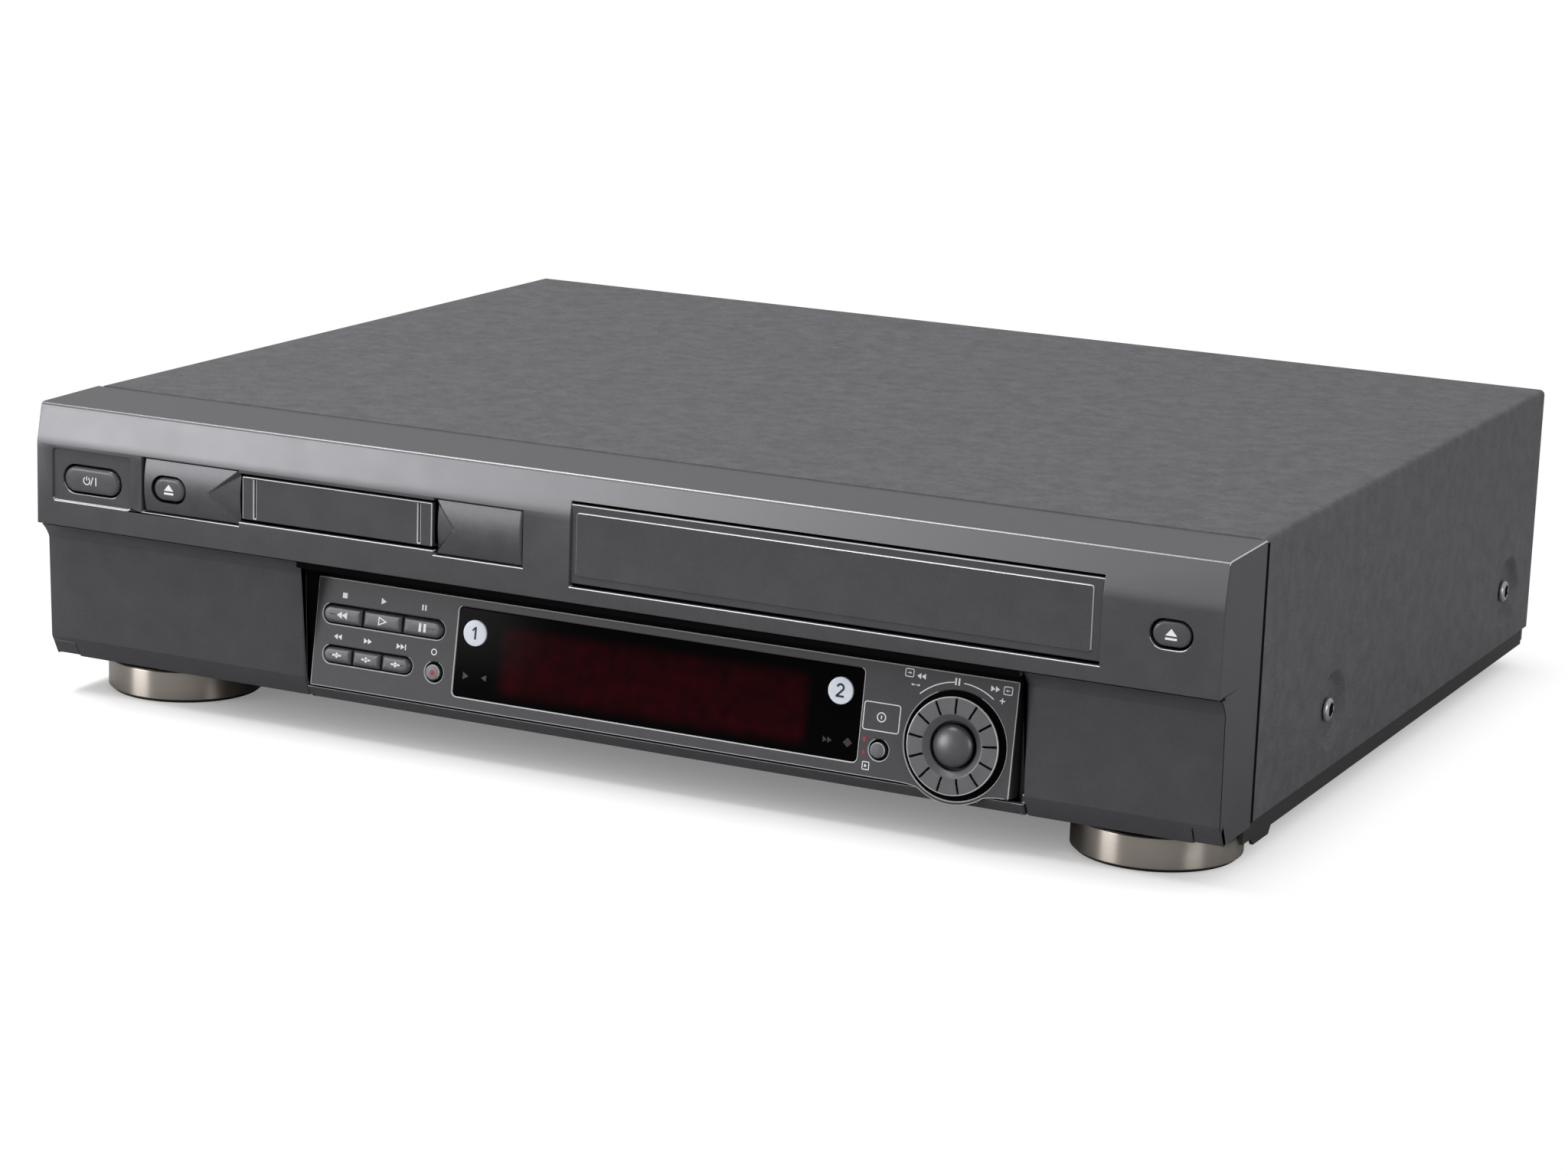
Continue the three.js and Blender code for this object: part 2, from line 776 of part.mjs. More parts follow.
const recessShelf = stepHeight - shelfThickness;
const bayShelfTop = stepHeight + shelfThickness;
const cheekFloor = fasciaBottom + cheekLift;
const bayBack = bayDepth + bayWall;
const cheekInner = halfFascia - cheekWidth;
const powerRecess = roundedRectangle(
  powerRecessLeft,
  powerRecessRight,
  powerRecessBottom,
  powerRecessTop,
  powerRecessCorner,
);
const cassetteAxis = cassetteDoorTop - doorAxisDrop;
const smallAxis = smallDoorTop - doorAxisDrop;
const topRow = { left: topRowLeft, key: topRowKey, height: topRowHeight, centre: topRowCentre };
const lowRow = { left: lowRowLeft, key: lowRowKey, height: lowRowHeight, centre: lowRowCentre };

function makeFascia() {
  const wall = upperFace();
  wall.lineTo(fasciaWall, stepHeight);
  wall.lineTo(fasciaWall, kneeHeight);
  wall.lineTo(topEdgeSetback + fasciaWall, fasciaTopFront - fasciaWall);
  wall.lineTo(fasciaDepth, fasciaTopBack - fasciaWall);
  const upperEnd = upperFace();
  upperEnd.lineTo(fasciaDepth, stepHeight);
  const lowerEnd = lowerFace(stepHeight + weld, cheekFloor);
  lowerEnd.lineTo(fasciaDepth, cheekFloor);
  lowerEnd.lineTo(fasciaDepth, stepHeight + weld);
  const rebate = polygon([
    [-overrun, flapAxisHeight],
    [-overrun, stepHeight],
    [coveSetback + flapThickness + flapBackGap, stepHeight],
    [coveSetback + coveDepth + flapThickness + flapBackGap, flapTop - coveHeight],
    [lowerFaceSetback + flapThickness + flapBackGap, bevelHeight],
    [lowerFaceSetback + flapThickness + flapBackGap, flapAxisHeight],
  ]);
  const rail = polygon([
    [railSetback, railTop],
    [bevelSetback, fasciaBottom],
    [bayDepth + weld, fasciaBottom],
    [bayDepth + weld, fasciaBottom + bayWall],
    [bevelSetback + bayWall, fasciaBottom + bayWall],
    [railSetback + railThickness, railTop],
  ]);
  const parts = [
    prismX(wall, -halfFascia, halfFascia),
    block(weld - halfFascia, halfFascia - weld, shelfSetback, bayBack, stepHeight, bayShelfTop),
    block(recessLeft, recessRight, shelfSetback, bayBack, recessShelf, stepHeight + weld),
    block(recessLeft - weld, recessRight + weld, bayDepth, bayBack, recessScreenBottom, recessShelf + weld),
    prismX(rail, recessLeft, recessRight),
  ];
  for (const side of [-1, 1]) {
    const outer = side * halfFascia;
    const inner = side * cheekInner;
    const bayEnd = side < 0 ? recessLeft : recessRight;
    const panelEnd = side < 0 ? panelLeft : panelRight;
    const cavity = block(
      outer - side * fasciaWall, inner + side * cheekWall,
      flapAxisSetback + weld,
      fasciaDepth + overrun,
      cheekFloor + bayWall,
      stepHeight,
    );
    const [beyond, within] = [outer + side * overrun, inner - side * overrun];
    const lug = bar("x", cheekLugRadius, beyond, within, flapAxisSetback, flapAxisHeight);
    parts.push(
      prismX(upperEnd, outer, outer - side * fasciaWall),
      prismX(lowerEnd, outer, inner).subtract(cavity).subtract(prismX(rebate, beyond, within).subtract(lug)),
      block(inner + side * weld, bayEnd, bayDepth, bayBack, cheekFloor, stepHeight + weld),
      block(
        inner + side * weld, bayEnd,
        bayFloorSetback,
        bayDepth + weld,
        cheekFloor,
        fasciaBottom + bayWall,
      ),
      block(
        bayEnd, panelEnd + side * dividerGap,
        dividerSetback,
        bayBack,
        fasciaBottom + weld,
        stepHeight + weld,
      ),
      block(
        bayEnd, bayEnd - side * hingeLugThickness,
        dividerSetback + weld - hingeLugDepth,
        dividerSetback + weld,
        fasciaBottom + weld,
        hingeLugTop,
      ),
    );
  }
  for (const [edge, side] of [
    [cassetteDoorLeft, -1],
    [cassetteDoorRight, 1],
  ]) {
    const end = edge + side * hingeEarWidth;
    parts.push(bar("x", hingeEarRadius, edge, end, doorAxisSetback, cassetteAxis));
  }
  const through = fasciaWall + hingeEarRadius + overrun;
  const cuts = [
    block(cassetteDoorLeft, cassetteDoorRight, -overrun, through, cassetteDoorBottom, cassetteDoorTop),
    block(leftPlateOuter, smallDoorLeft, -overrun, through, plateBottom, plateTop),
    block(smallDoorLeft - weld, smallDoorRight + weld, -overrun, through, smallDoorBottom, smallDoorTop),
    block(smallDoorRight, rightPlateOuter, -overrun, through, plateBottom, plateTop),
    prismY(powerRecess, -overrun, powerRecessDepth),
    pocket(powerX, powerHeight, powerWidth, powerCapHeight, through),
    pocket(ejectX, ejectHeight, ejectWidth, ejectCapHeight, through),
    bar(
      "x",
      hingeBoreRadius,
      cassetteDoorLeft - hingeEarWidth - overrun,
      cassetteDoorRight + hingeEarWidth + overrun,
      doorAxisSetback,
      cassetteAxis,
    ),
    tiltedBar(hubRadius + fitGap, -hubProud - overrun, panelThickness + overrun, dialX, dialHeight),
  ];
  for (const [from, to] of [
    [-cheekInner - cheekWall - overrun, recessLeft + hingeLugThickness + overrun],
    [recessRight - hingeLugThickness - overrun, cheekInner + cheekWall + overrun],
  ]) {
    cuts.push(bar("x", flapBoreRadius, from, to, flapAxisSetback, flapAxisHeight, tinySides));
  }
  for (let i = 0; i < frontSocketCount; i += 1) {
    const x = frontSocketX + i * frontSocketPitch;
    const radius = frontBarrelRadius + fitGap;
    cuts.push(bar("y", radius, bayDepth - overrun, bayBack + overrun, x, frontSocketHeight));
  }
  return join(parts).subtract(join(cuts));
}

// The hole around an upper button
function pocket(x, z, width, height, depth) {
  return prismY(pill(x, z, width + 2 * buttonPocketGap, height + 2 * buttonPocketGap), -overrun, depth);
}

piece("front_fascia", makeFascia(), facePlastic);

// Top cover with its four screw dimples
function makeCover() {
  const [half, bend] = [halfCover, coverBendRadius];
  const shape = new THREE.Shape();
  shape.moveTo(half, coverBottom);
  shape.lineTo(half, coverTop - bend);
  shape.absarc(half - bend, coverTop - bend, bend, 0, Math.PI / 2);
  shape.lineTo(-half + bend, coverTop);
  shape.absarc(-half + bend, coverTop - bend, bend, Math.PI / 2, Math.PI);
  shape.lineTo(-half, coverBottom);
  shape.lineTo(-half + coverSheet, coverBottom);
  shape.lineTo(-half + coverSheet, coverTop - bend);
  shape.absarc(-half + bend, coverTop - bend, bend - coverSheet, Math.PI, Math.PI / 2, true);
  shape.lineTo(half - bend, coverTop - coverSheet);
  shape.absarc(half - bend, coverTop - bend, bend - coverSheet, Math.PI / 2, 0, true);
  shape.lineTo(half - coverSheet, coverBottom);
  let made = prismY(shape, coverFront, coverBack);
  for (const side of [-1, 1]) {
    const surface = side * half;
    const floor = surface - side * dimpleDepth;
    const back = floor - side * coverSheet;
    for (const y of [frontDimple, rearDimple]) {
      const cup = [
        [0, back],
        [dimpleFloorRadius + coverSheet, back],
        [dimpleRadius + coverSheet, surface - side * coverSheet * weld],
        [0, surface - side * coverSheet * weld],
      ];
      const hollow = [
        [0, floor],
        [dimpleFloorRadius, floor],
        [dimpleRadius, surface],
        [dimpleRadius, surface + side * overrun],
        [0, surface + side * overrun],
      ];
      made = made
        .add(turned("x", cup, y, dimpleHeight))
        .subtract(turned("x", hollow, y, dimpleHeight))
        .subtract(bar("x", screwHoleRadius, back - side * overrun, surface, y, dimpleHeight));
    }
  }
  return made;
}
piece("top_cover", makeCover(), graphitePaint);

// Cover screws: a pan head with a six-sided socket
function makeScrew(side, y) {
  const seat = side * (halfCover - dimpleDepth + fitGap);
  const face = seat + side * screwHeadHeight;
  const tip = seat - side * screwLength;
  const screw = bar("x", screwHeadRadius, seat, face, y, dimpleHeight, roundSides).add(
    bar("x", screwShankRadius, tip, seat + side * weld, y, dimpleHeight, tinySides),
  );
  const socket = [face - side * screwSocketDepth, face + side * overrun];
  return screw.subtract(bar("x", screwSocketRadius, ...socket, y, dimpleHeight, 6));
}
for (const [name, side, y] of [
  ["left_front_cover_screw", -1, frontDimple],
  ["left_rear_cover_screw", -1, rearDimple],
  ["right_front_cover_screw", 1, frontDimple],
  ["right_rear_cover_screw", 1, rearDimple],
]) {
  piece(name, makeScrew(side, y), zincSteel);
}

// Chassis pan: a raised front over the big feet, a floor and two joggled flanges with a bump near the front
const panHalf = halfCover - chassisInset;
const panFloorTop = chassisBottom + chassisSheet;
const panFrontTop = chassisRaised + chassisSheet;
const panBack = rearPanelFace - rearSheet - fitGap;
function makeChassis() {
  const floor = polygon([
    [coverFront, chassisRaised],
    [chassisLedge, chassisRaised],
    [chassisLedge, chassisBottom],
    [panBack, chassisBottom],
    [panBack, panFloorTop],
    [chassisLedge + chassisSheet, panFloorTop],
    [chassisLedge + chassisSheet, panFrontTop],
    [coverFront, panFrontTop],
  ]);
  let made = prismX(floor, -panHalf, panHalf);
  for (const side of [-1, 1]) {
    const flange = polygon([
      [side * panHalf, chassisBottom],
      [side * panHalf, chassisJogHeight],
      [side * (panHalf - chassisJog), chassisJogHeight + chassisJog],
      [side * (panHalf - chassisJog), chassisFlangeTop],
      [side * (panHalf - chassisJog - chassisSheet), chassisFlangeTop],
      [side * (panHalf - chassisJog - chassisSheet), chassisJogHeight + chassisJog - chassisSheet / 2],
      [side * (panHalf - chassisSheet), chassisJogHeight - chassisSheet / 2],
      [side * (panHalf - chassisSheet), chassisBottom],
    ]);
    made = made.add(prismY(flange, coverFront, panBack));
    for (const y of [frontDimple, rearDimple]) {
      const inside = side * (panHalf - chassisJog - chassisSheet - overrun);
      made = made.subtract(bar("x", screwHoleRadius, side * (panHalf + overrun), inside, y, dimpleHeight));
    }
  }
  const reach = panHalf - chassisSheet;
  made = made.subtract(
    block(-reach, reach, coverFront - overrun, chassisLedge, chassisBottom - overrun, chassisRaised),
  );
  const bump = polygon([
    [bumpFront, chassisBottom + weld],
    [bumpFront + bumpHeight, chassisBottom - bumpHeight],
    [bumpBack - bumpHeight, chassisBottom - bumpHeight],
    [bumpBack, chassisBottom + weld],
  ]);
  for (const side of [-1, 1]) {
    made = made.add(prismX(bump, side * panHalf, side * (panHalf - chassisSheet)));
  }
  return made;
}
piece("chassis_pan", makeChassis(), zincSteel);

// Front feet: a bright ring around a black core with a rubber base
function makeFrontFoot(x) {
  const profile = [
    [0, 0],
    [footRadius - footPadInset, 0],
    [footRadius - footPadInset, footPadHeight],
    [footRadius, footPadHeight],
    [footRadius, footHeight - footEdge],
    [footRadius - footEdge, footHeight],
    [footRadius - footWall, footHeight],
    [footRadius - footWall, footHeight - footWall],
    [footNeckRadius, footHeight - footWall],
    [footNeckRadius, chassisRaised - fitGap],
    [0, chassisRaised - fitGap],
  ];
  return turned("z", profile, x, footY, fineSides);
}
piece("left_front_foot", makeFrontFoot(-footX), satinMetal);
piece("right_front_foot", makeFrontFoot(footX), satinMetal);

function makeRearFoot(x) {
  const profile = [
    [0, 0],
    [rearFootRadius - rearFootTaper, 0],
    [rearFootRadius, rearFootTaper],
    [rearFootRadius, chassisBottom - fitGap],
    [0, chassisBottom - fitGap],
  ];
  return turned("z", profile, x, rearFootY, smallSides);
}
piece("left_rear_foot", makeRearFoot(-rearFootX), rubberBlack);
piece("right_rear_foot", makeRearFoot(rearFootX), rubberBlack);

// Cassette door with its raised field and hinge barrel
function hingedPlate(left, right, bottom, top, axis) {
  const [x0, x1] = [left + doorGap, right - doorGap];
  return join([
    block(x0, x1, doorSetback, doorSetback + doorThickness, bottom + doorGap, top - doorGap),
    bar("x", doorBarrelRadius, x0, x1, doorAxisSetback, axis, tinySides),
    bar("x", doorPinRadius, x0 - doorPinLength, x1 + doorPinLength, doorAxisSetback, axis, tinySides),
  ]);
}
const raisedField = roundedRectangle(
  cassetteDoorLeft + raisedInsetLeft,
  cassetteDoorRight - raisedInsetRight,
  cassetteDoorBottom + raisedInsetEnd,
  cassetteDoorTop - raisedInsetEnd,
  raisedCorner,
);
piece(
  "cassette_door",
  hingedPlate(cassetteDoorLeft, cassetteDoorRight, cassetteDoorBottom, cassetteDoorTop, cassetteAxis).add(
    prismY(raisedField, doorSetback - doorRaise, doorSetback + weld, doorRaise / 2),
  ),
  facePlastic,
);

// Small cassette door with its two upright grooves
function makeSmallDoor() {
  const grooves = [smallDoorLeft + smallGrooveInset, smallDoorRight - smallGrooveInset].map((x) =>
    block(
      x - smallGrooveWidth / 2,
      x + smallGrooveWidth / 2,
      doorSetback - overrun,
      doorSetback + smallGrooveDepth,
      smallDoorBottom,
      smallDoorTop,
    ),
  );
  const plate = hingedPlate(smallDoorLeft, smallDoorRight, smallDoorBottom, smallDoorTop, smallAxis);
  return plate.subtract(join(grooves));
}
piece("small_cassette_door", makeSmallDoor(), facePlastic);

// Plates beside the small door, each with a scoop that leads a finger to it
function makeScoopPlate(outer, side, reach) {
  const inner = side < 0 ? smallDoorLeft - plateDoorGap : smallDoorRight + plateDoorGap;
  const [x0, x1] = [outer - side * fitGap, inner];
  const [z0, z1] = [plateBottom + fitGap, plateTop - fitGap];
  const middle = (z0 + z1) / 2;
  const lipFront = fasciaWall + fitGap;
  const lipBack = lipFront + plateLipThickness;
  const [lip0, lip1] = [outer + side * plateLip, inner];
  const cut = inner - side * overrun;
  const scoop = new ConvexGeometry([
    new THREE.Vector3(inner + side * reach, 0, middle),
    new THREE.Vector3(inner, -overrun, z1),
    new THREE.Vector3(inner, -overrun, z0),
    new THREE.Vector3(cut, -overrun, z1),
    new THREE.Vector3(cut, -overrun, z0),
    new THREE.Vector3(inner, scoopDepth, z1 - scoopDepth),
    new THREE.Vector3(inner, scoopDepth, z0 + scoopDepth),
    new THREE.Vector3(cut, scoopDepth, z1 - scoopDepth),
    new THREE.Vector3(cut, scoopDepth, z0 + scoopDepth),
  ]);
  const ear = [inner, inner + side * hingeEarWidth];
  const bore = [inner - side * overrun, inner + side * (hingeEarWidth + overrun)];
  return join([
    block(x0, x1, 0, lipBack, z0, z1),
    block(lip0, lip1, lipFront, lipBack, plateBottom - plateLip, plateTop + plateLip),
    bar("x", hingeEarRadius - fitGap, ...ear, doorAxisSetback, smallAxis),
  ])
    .subtract(solid(scoop))
    .subtract(bar("x", hingeBoreRadius, ...bore, doorAxisSetback, smallAxis, tinySides));
}
const plateBack = fasciaWall + fitGap + plateLipThickness;
const ejectPocket = pocket(smallEjectX, smallEjectHeight, ejectWidth, ejectCapHeight, plateBack + overrun);
const leftPlate = makeScoopPlate(leftPlateOuter, -1, leftScoopReach).subtract(ejectPocket);
piece("left_scoop_plate", leftPlate, facePlastic);
piece("right_scoop_plate", makeScoopPlate(rightPlateOuter, 1, rightScoopReach), facePlastic);

// Flap doors over the lower compartments, hinged at their lower edge; the outer end covers the end piece
// of the fascia and is hollowed around its lug
function makeFlap(left, right) {
  const shape = lowerFace(flapTop, fasciaBottom);
  shape.lineTo(bevelSetback + flapThickness, fasciaBottom);
  shape.lineTo(lowerFaceSetback + flapThickness, bevelHeight + weld);
  shape.lineTo(coveSetback + coveDepth + flapThickness, flapTop - coveHeight);
  shape.lineTo(coveSetback + flapThickness, flapTop);
  const [x0, x1] = [left + flapSideGap, right - flapSideGap];
  const parts = [prismX(shape, x0, x1)];
  for (const [end, inward] of [
    [x0, 1],
    [x1, -1],
  ]) {
    const ear = [end, end + inward * flapEarWidth];
    const pin = [end + inward * weld, end - inward * flapPinLength];
    parts.push(bar("x", flapEarRadius, ...ear, flapAxisSetback, flapAxisHeight, tinySides));
    parts.push(bar("x", flapPinRadius, ...pin, flapAxisSetback, flapAxisHeight, tinySides));
  }
  const side = left < 0 ? -1 : 1;
  const from = side < 0 ? x0 : x1;
  const to = side * (halfFascia - flapEndInset);
  const clearance = cheekLugRadius + cheekLugGap;
  const inside = from - side * flapEarWidth;
  const under = block(from, to + side * overrun, 0, fasciaDepth, fasciaBottom - overrun, flapAxisHeight);
  const round = bar("x", clearance, from, to + side * overrun, flapAxisSetback, flapAxisHeight, roundSides);
  parts.push(prismX(shape, inside, to).subtract(under.add(round)));
  return join(parts);
}
piece("left_flap_door", makeFlap(-cheekInner, recessLeft), facePlastic);
piece("right_flap_door", makeFlap(recessRight, cheekInner), facePlastic);

// Upper buttons: a pill-shaped cap and a rim that stops it behind the wall
function makeButton(x, z, width, height, proud, wallFront, wallBack) {
  const rim = 2 * (buttonPocketGap + buttonFlange);
  const rimFront = wallBack + fitGap;
  return join([
    prismY(pill(x, z, width, height), wallFront - proud, rimFront + weld, buttonEdge),
    prismY(pill(x, z, width + rim, height + rim), rimFront, rimFront + buttonFlangeThickness),
  ]);
}
piece(
  "power_button",
  makeButton(powerX, powerHeight, powerWidth, powerCapHeight, powerProud, powerRecessDepth, fasciaWall),
  keyPlastic,
);
piece(
  "cassette_eject_button",
  makeButton(ejectX, ejectHeight, ejectWidth, ejectCapHeight, buttonProud, 0, fasciaWall),
  keyPlastic,
);
piece(
  "small_eject_button",
  makeButton(smallEjectX, smallEjectHeight, ejectWidth, ejectCapHeight, buttonProud, 0, plateBack),
  keyPlastic,
);

// Control panel, in its own tilted frame
function rowPocket(row) {
  const [x, width] = [row.left + 1.5 * row.key, 3 * row.key + 2 * pocketGap];
  return prismY(pill(x, row.centre, width, row.height + 2 * pocketGap), -overrun, panelThickness + overrun);
}
function makePanel() {
  const through = [-hubProud - overrun, panelThickness + overrun];
  const windowBack = windowRecess + windowThickness + fitGap;
  const windowSeat = roundedRectangle(windowLeft, windowRight, windowBottom, windowTop, windowCorner);
  const parts = [
    block(panelLeft, panelRight, 0, panelThickness, 0, panelHeight),
    bar("y", hubRadius, -hubProud, panelThickness, dialX, dialHeight, hubSides),
  ];
  for (const x of [panelLeft + postInset, panelRight - postInset]) {
    for (const z of [postInset, panelHeight - postInset]) {
      parts.push(bar("y", panelPostRadius, panelThickness - weld, boardSetback - fitGap, x, z, tinySides));
    }
  }
  const cuts = [
    rowPocket(topRow),
    rowPocket(lowRow),
    bar("y", recordPocketRadius, ...through, recordX, recordHeight, keySides),
    bar("y", selectPocketRadius, ...through, selectX, selectHeight, keySides),
    bar("y", dialPocketRadius, through[0], dialPocketDepth, dialX, dialHeight, hubSides),
    bar("y", sleeveRadius + fitGap, ...through, dialX, dialHeight),
    prismY(windowSeat, -overrun, windowBack),
    block(
      windowLeft + windowLedge,
      windowRight - windowLedge,
      0,
      panelThickness + overrun,
      windowBottom + windowLedge,
      windowTop - windowLedge,
    ),
  ];
  return join(parts).subtract(join(cuts));
}
piece("control_panel", makePanel(), facePlastic, panelFrame);

function makeWindow() {
  const outline = roundedRectangle(
    windowLeft + fitGap,
    windowRight - fitGap,
    windowBottom + fitGap,
    windowTop - fitGap,
    windowCorner - fitGap,
  );
  const holes = [leftLampX, rightLampX].map((x) =>
    bar("y", lampRadius + fitGap, 0, panelThickness, x, lampHeight, keySides),
  );
  return prismY(outline, windowRecess, windowRecess + windowThickness).subtract(join(holes));
}
piece("display_window", makeWindow(), darkGlass, panelFrame);

// Circuit board behind the panel, with the display tube on it
piece(
  "front_board",
  block(
    panelLeft + postInset / 2,
    panelRight - postInset / 2,
    boardSetback,
    boardSetback + boardThickness,
    postInset / 2,
    panelHeight - postInset / 2,
  ).add(
    block(
      displayTubeLeft,
      displayTubeRight,
      boardSetback - displayTubeDepth,
      boardSetback + weld,
      displayTubeBottom,
      displayTubeTop,
    ),
  ),
  boardGreen,
  panelFrame,
);

// Keys on the panel: a cap, a rim behind the panel and a stem towards its switch
const rimStart = panelThickness + fitGap;
const stemEnd = boardSetback - keyTravel - fitGap;
function makeRoundKey(x, z, radius, front, travel) {
  const rim = rimStart + keyFlangeThickness;
  const profile = [
    [0, front],
    [radius - keyEdge, front],
    [radius, front + keyEdge],
    [radius, rimStart],
    [radius + pocketGap + keyFlange, rimStart],
    [radius + pocketGap + keyFlange, rim],
    [stemRadius, rim],
    [stemRadius, boardSetback - travel - fitGap],
    [0, boardSetback - travel - fitGap],
  ];
  return turned("y", profile, x, z, keySides);
}
function makeRowKey(row, index) {
  const left = row.left + index * row.key + (index > 0 ? keyGap / 2 : 0);
  const right = row.left + (index + 1) * row.key - (index < 2 ? keyGap / 2 : 0);
  const [z0, z1] = [row.centre - row.height / 2, row.centre + row.height / 2];
  const wide = pill(row.left + 1.5 * row.key, row.centre, 3 * row.key, row.height);
  const cap = prismY(wide, -keyProud, rimStart + weld, keyEdge).intersect(
    block(left, right, -keyProud - overrun, rimStart + overrun, z0 - overrun, z1 + overrun),
  );
  const rim = pocketGap + keyFlange;
  return join([
    cap,
    block(left, right, rimStart, rimStart + keyFlangeThickness, z0 - rim, z1 + rim),
    bar("y", stemRadius, rimStart, stemEnd, (left + right) / 2, row.centre, tinySides),
  ]);
}
["stop_button", "play_button", "pause_button"].forEach((name, index) => {
  piece(name, makeRowKey(topRow, index), keyPlastic, panelFrame);
});
["rewind_button", "forward_button", "skip_button"].forEach((name, index) => {
  piece(name, makeRowKey(lowRow, index), keyPlastic, panelFrame);
});
piece(
  "record_button",
  makeRoundKey(recordX, recordHeight, recordRadius, -keyProud, keyTravel),
  keyPlastic,
  panelFrame,
);
piece(
  "select_button",
  makeRoundKey(selectX, selectHeight, selectRadius, -keyProud, keyTravel),
  keyPlastic,
  panelFrame,
);
for (const [name, x] of [
  ["deck_one_button", leftLampX],
  ["deck_two_button", rightLampX],
]) {
  piece(
    name,
    makeRoundKey(x, lampHeight, lampRadius, windowRecess - lampProud, lampTravel),
    lampPlastic,
    panelFrame,
  );
}

// Shuttle ring, its encoder shaft and the jog dial that turns and pushes in the middle
const wellFace = -wellFloor;
function makeShuttleRing() {
  const back = dialPocketDepth - fitGap;
  const sleeveEnd = panelThickness + sleeveReach;
  const profile = [
    [sleeveRadius - sleeveWall, wellFace],
    [ringInnerRadius, wellFace],
    [ringInnerRadius, dishDepth - ringProud],
    [dishRadius, -ringProud],
    [ringRadius - ringEdge, -ringProud],
    [ringRadius, ringEdge - ringProud],
    [ringRadius, back],
    [sleeveRadius, back],
    [sleeveRadius, sleeveEnd],
    [sleeveRadius - sleeveWall, sleeveEnd],
    [sleeveRadius - sleeveWall, wellFace],
  ];
  const ticks = [];
  for (let i = 0; i < tickCount; i += 1) {
    const length = ringRadius - dishRadius - 2 * tickInset;
    const tick = new THREE.BoxGeometry(tickWidth, 2 * tickDepth, length);
    tick.translate(0, -ringProud, dishRadius + tickInset + length / 2);
    tick.rotateY((2 * Math.PI * i) / tickCount);
    tick.translate(dialX, 0, dialHeight);
    ticks.push(solid(tick));
  }
  return turned("y", profile, dialX, dialHeight, fineSides).subtract(join(ticks));
}
piece("shuttle_ring", makeShuttleRing(), keyPlastic, panelFrame);

const jogBack = wellFace - jogTravel - fitGap;
const jogApex = jogBack - jogSide - jogRise;
piece(
  "encoder_shaft",
  turned(
    "y",
    [
      [0, jogApex + jogCrown + jogTravel + fitGap],
      [shaftRadius, jogApex + jogCrown + jogTravel + fitGap],
      [shaftRadius, wellFace],
      [shaftCollarRadius, wellFace],
      [shaftCollarRadius, boardSetback - fitGap],
      [0, boardSetback - fitGap],
    ],
    dialX,
    dialHeight,
    smallSides,
  ),
  blackPlastic,
  panelFrame,
);
function makeJogDial() {
  const profile = [[0, jogApex]];
  for (let i = 1; i <= domeRings; i += 1) {
    const turn = (i / domeRings) * (Math.PI / 2);
    profile.push([jogRadius * Math.sin(turn), jogBack - jogSide - jogRise * Math.cos(turn)]);
  }
  profile.push(
    [jogRadius, jogBack],
    [shaftRadius + fitGap, jogBack],
    [shaftRadius + fitGap, jogApex + jogCrown],
    [0, jogApex + jogCrown],
  );
  return turned("y", profile, dialX, dialHeight);
}
piece("jog_dial", makeJogDial(), keyPlastic, panelFrame);

// Sockets in the left compartment, one moulded block with four barrels
function makeFrontSockets() {
  const back = bayBack + fitGap;
  const right = frontSocketX + (frontSocketCount - 1) * frontSocketPitch;
  const half = frontSocketPitch / 2;
  const parts = [
    block(
      frontSocketX - half,
      right + half,
      back,
      back + frontBlockDepth,
      frontSocketHeight - frontBlockHeight / 2,
      frontSocketHeight + frontBlockHeight / 2,
    ),
  ];
  const bores = [];
  for (let x = frontSocketX; x <= right; x += frontSocketPitch) {
    const face = bayDepth - frontBarrelReach;
    const bore = [face - overrun, face + phonoBoreDepth];
    parts.push(bar("y", frontBarrelRadius, face, back + weld, x, frontSocketHeight));
    bores.push(bar("y", phonoBoreRadius, ...bore, x, frontSocketHeight, tinySides));
  }
  return join(parts).subtract(join(bores));
}
piece("front_socket_block", makeFrontSockets(), blackPlastic);

// Spacers under a board's corners, which stand on the chassis floor
function spacers(left, right, front, back) {
  const [z0, z1] = [panFloorTop + fitGap, boardUnderside + weld];
  const made = [];
  for (const x of [left + boardSpacerInset, right - boardSpacerInset]) {
    for (const y of [front + boardSpacerInset, back - boardSpacerInset]) {
      made.push(bar("z", spacerRadius, z0, z1, x, y, tinySides));
    }
  }
  return made;
}

// Main board on its spacers, with holes for the cassette deck's legs
const deckLegs = [];
for (const x of [deckX - deckHalfWidth + deckLegInset, deckX + deckHalfWidth - deckLegInset]) {
  for (const y of [deckFront + deckLegInset, deckBack - deckLegInset]) deckLegs.push([x, y]);
}
function makeMainBoard() {
  const parts = [
    block(boardLeft, boardRight, boardFront, boardBack, boardUnderside, boardTop),
    ...spacers(boardLeft, boardRight, boardFront, boardBack),
  ];
  for (let i = 0; i < chipCount; i += 1) {
    const x = boardLeft + boardSpacerInset + i * chipPitch;
    const y = boardFront + 2 * boardSpacerInset;
    parts.push(block(x, x + chipWidth, y, y + chipWidth, boardTop - weld, boardTop + chipHeight));
  }
  const holes = deckLegs.map(([x, y]) =>
    bar("z", deckLegRadius + overrun, boardUnderside - overrun, boardTop + overrun, x, y),
  );
  return join(parts).subtract(join(holes));
}
piece("main_board", makeMainBoard(), boardGreen);

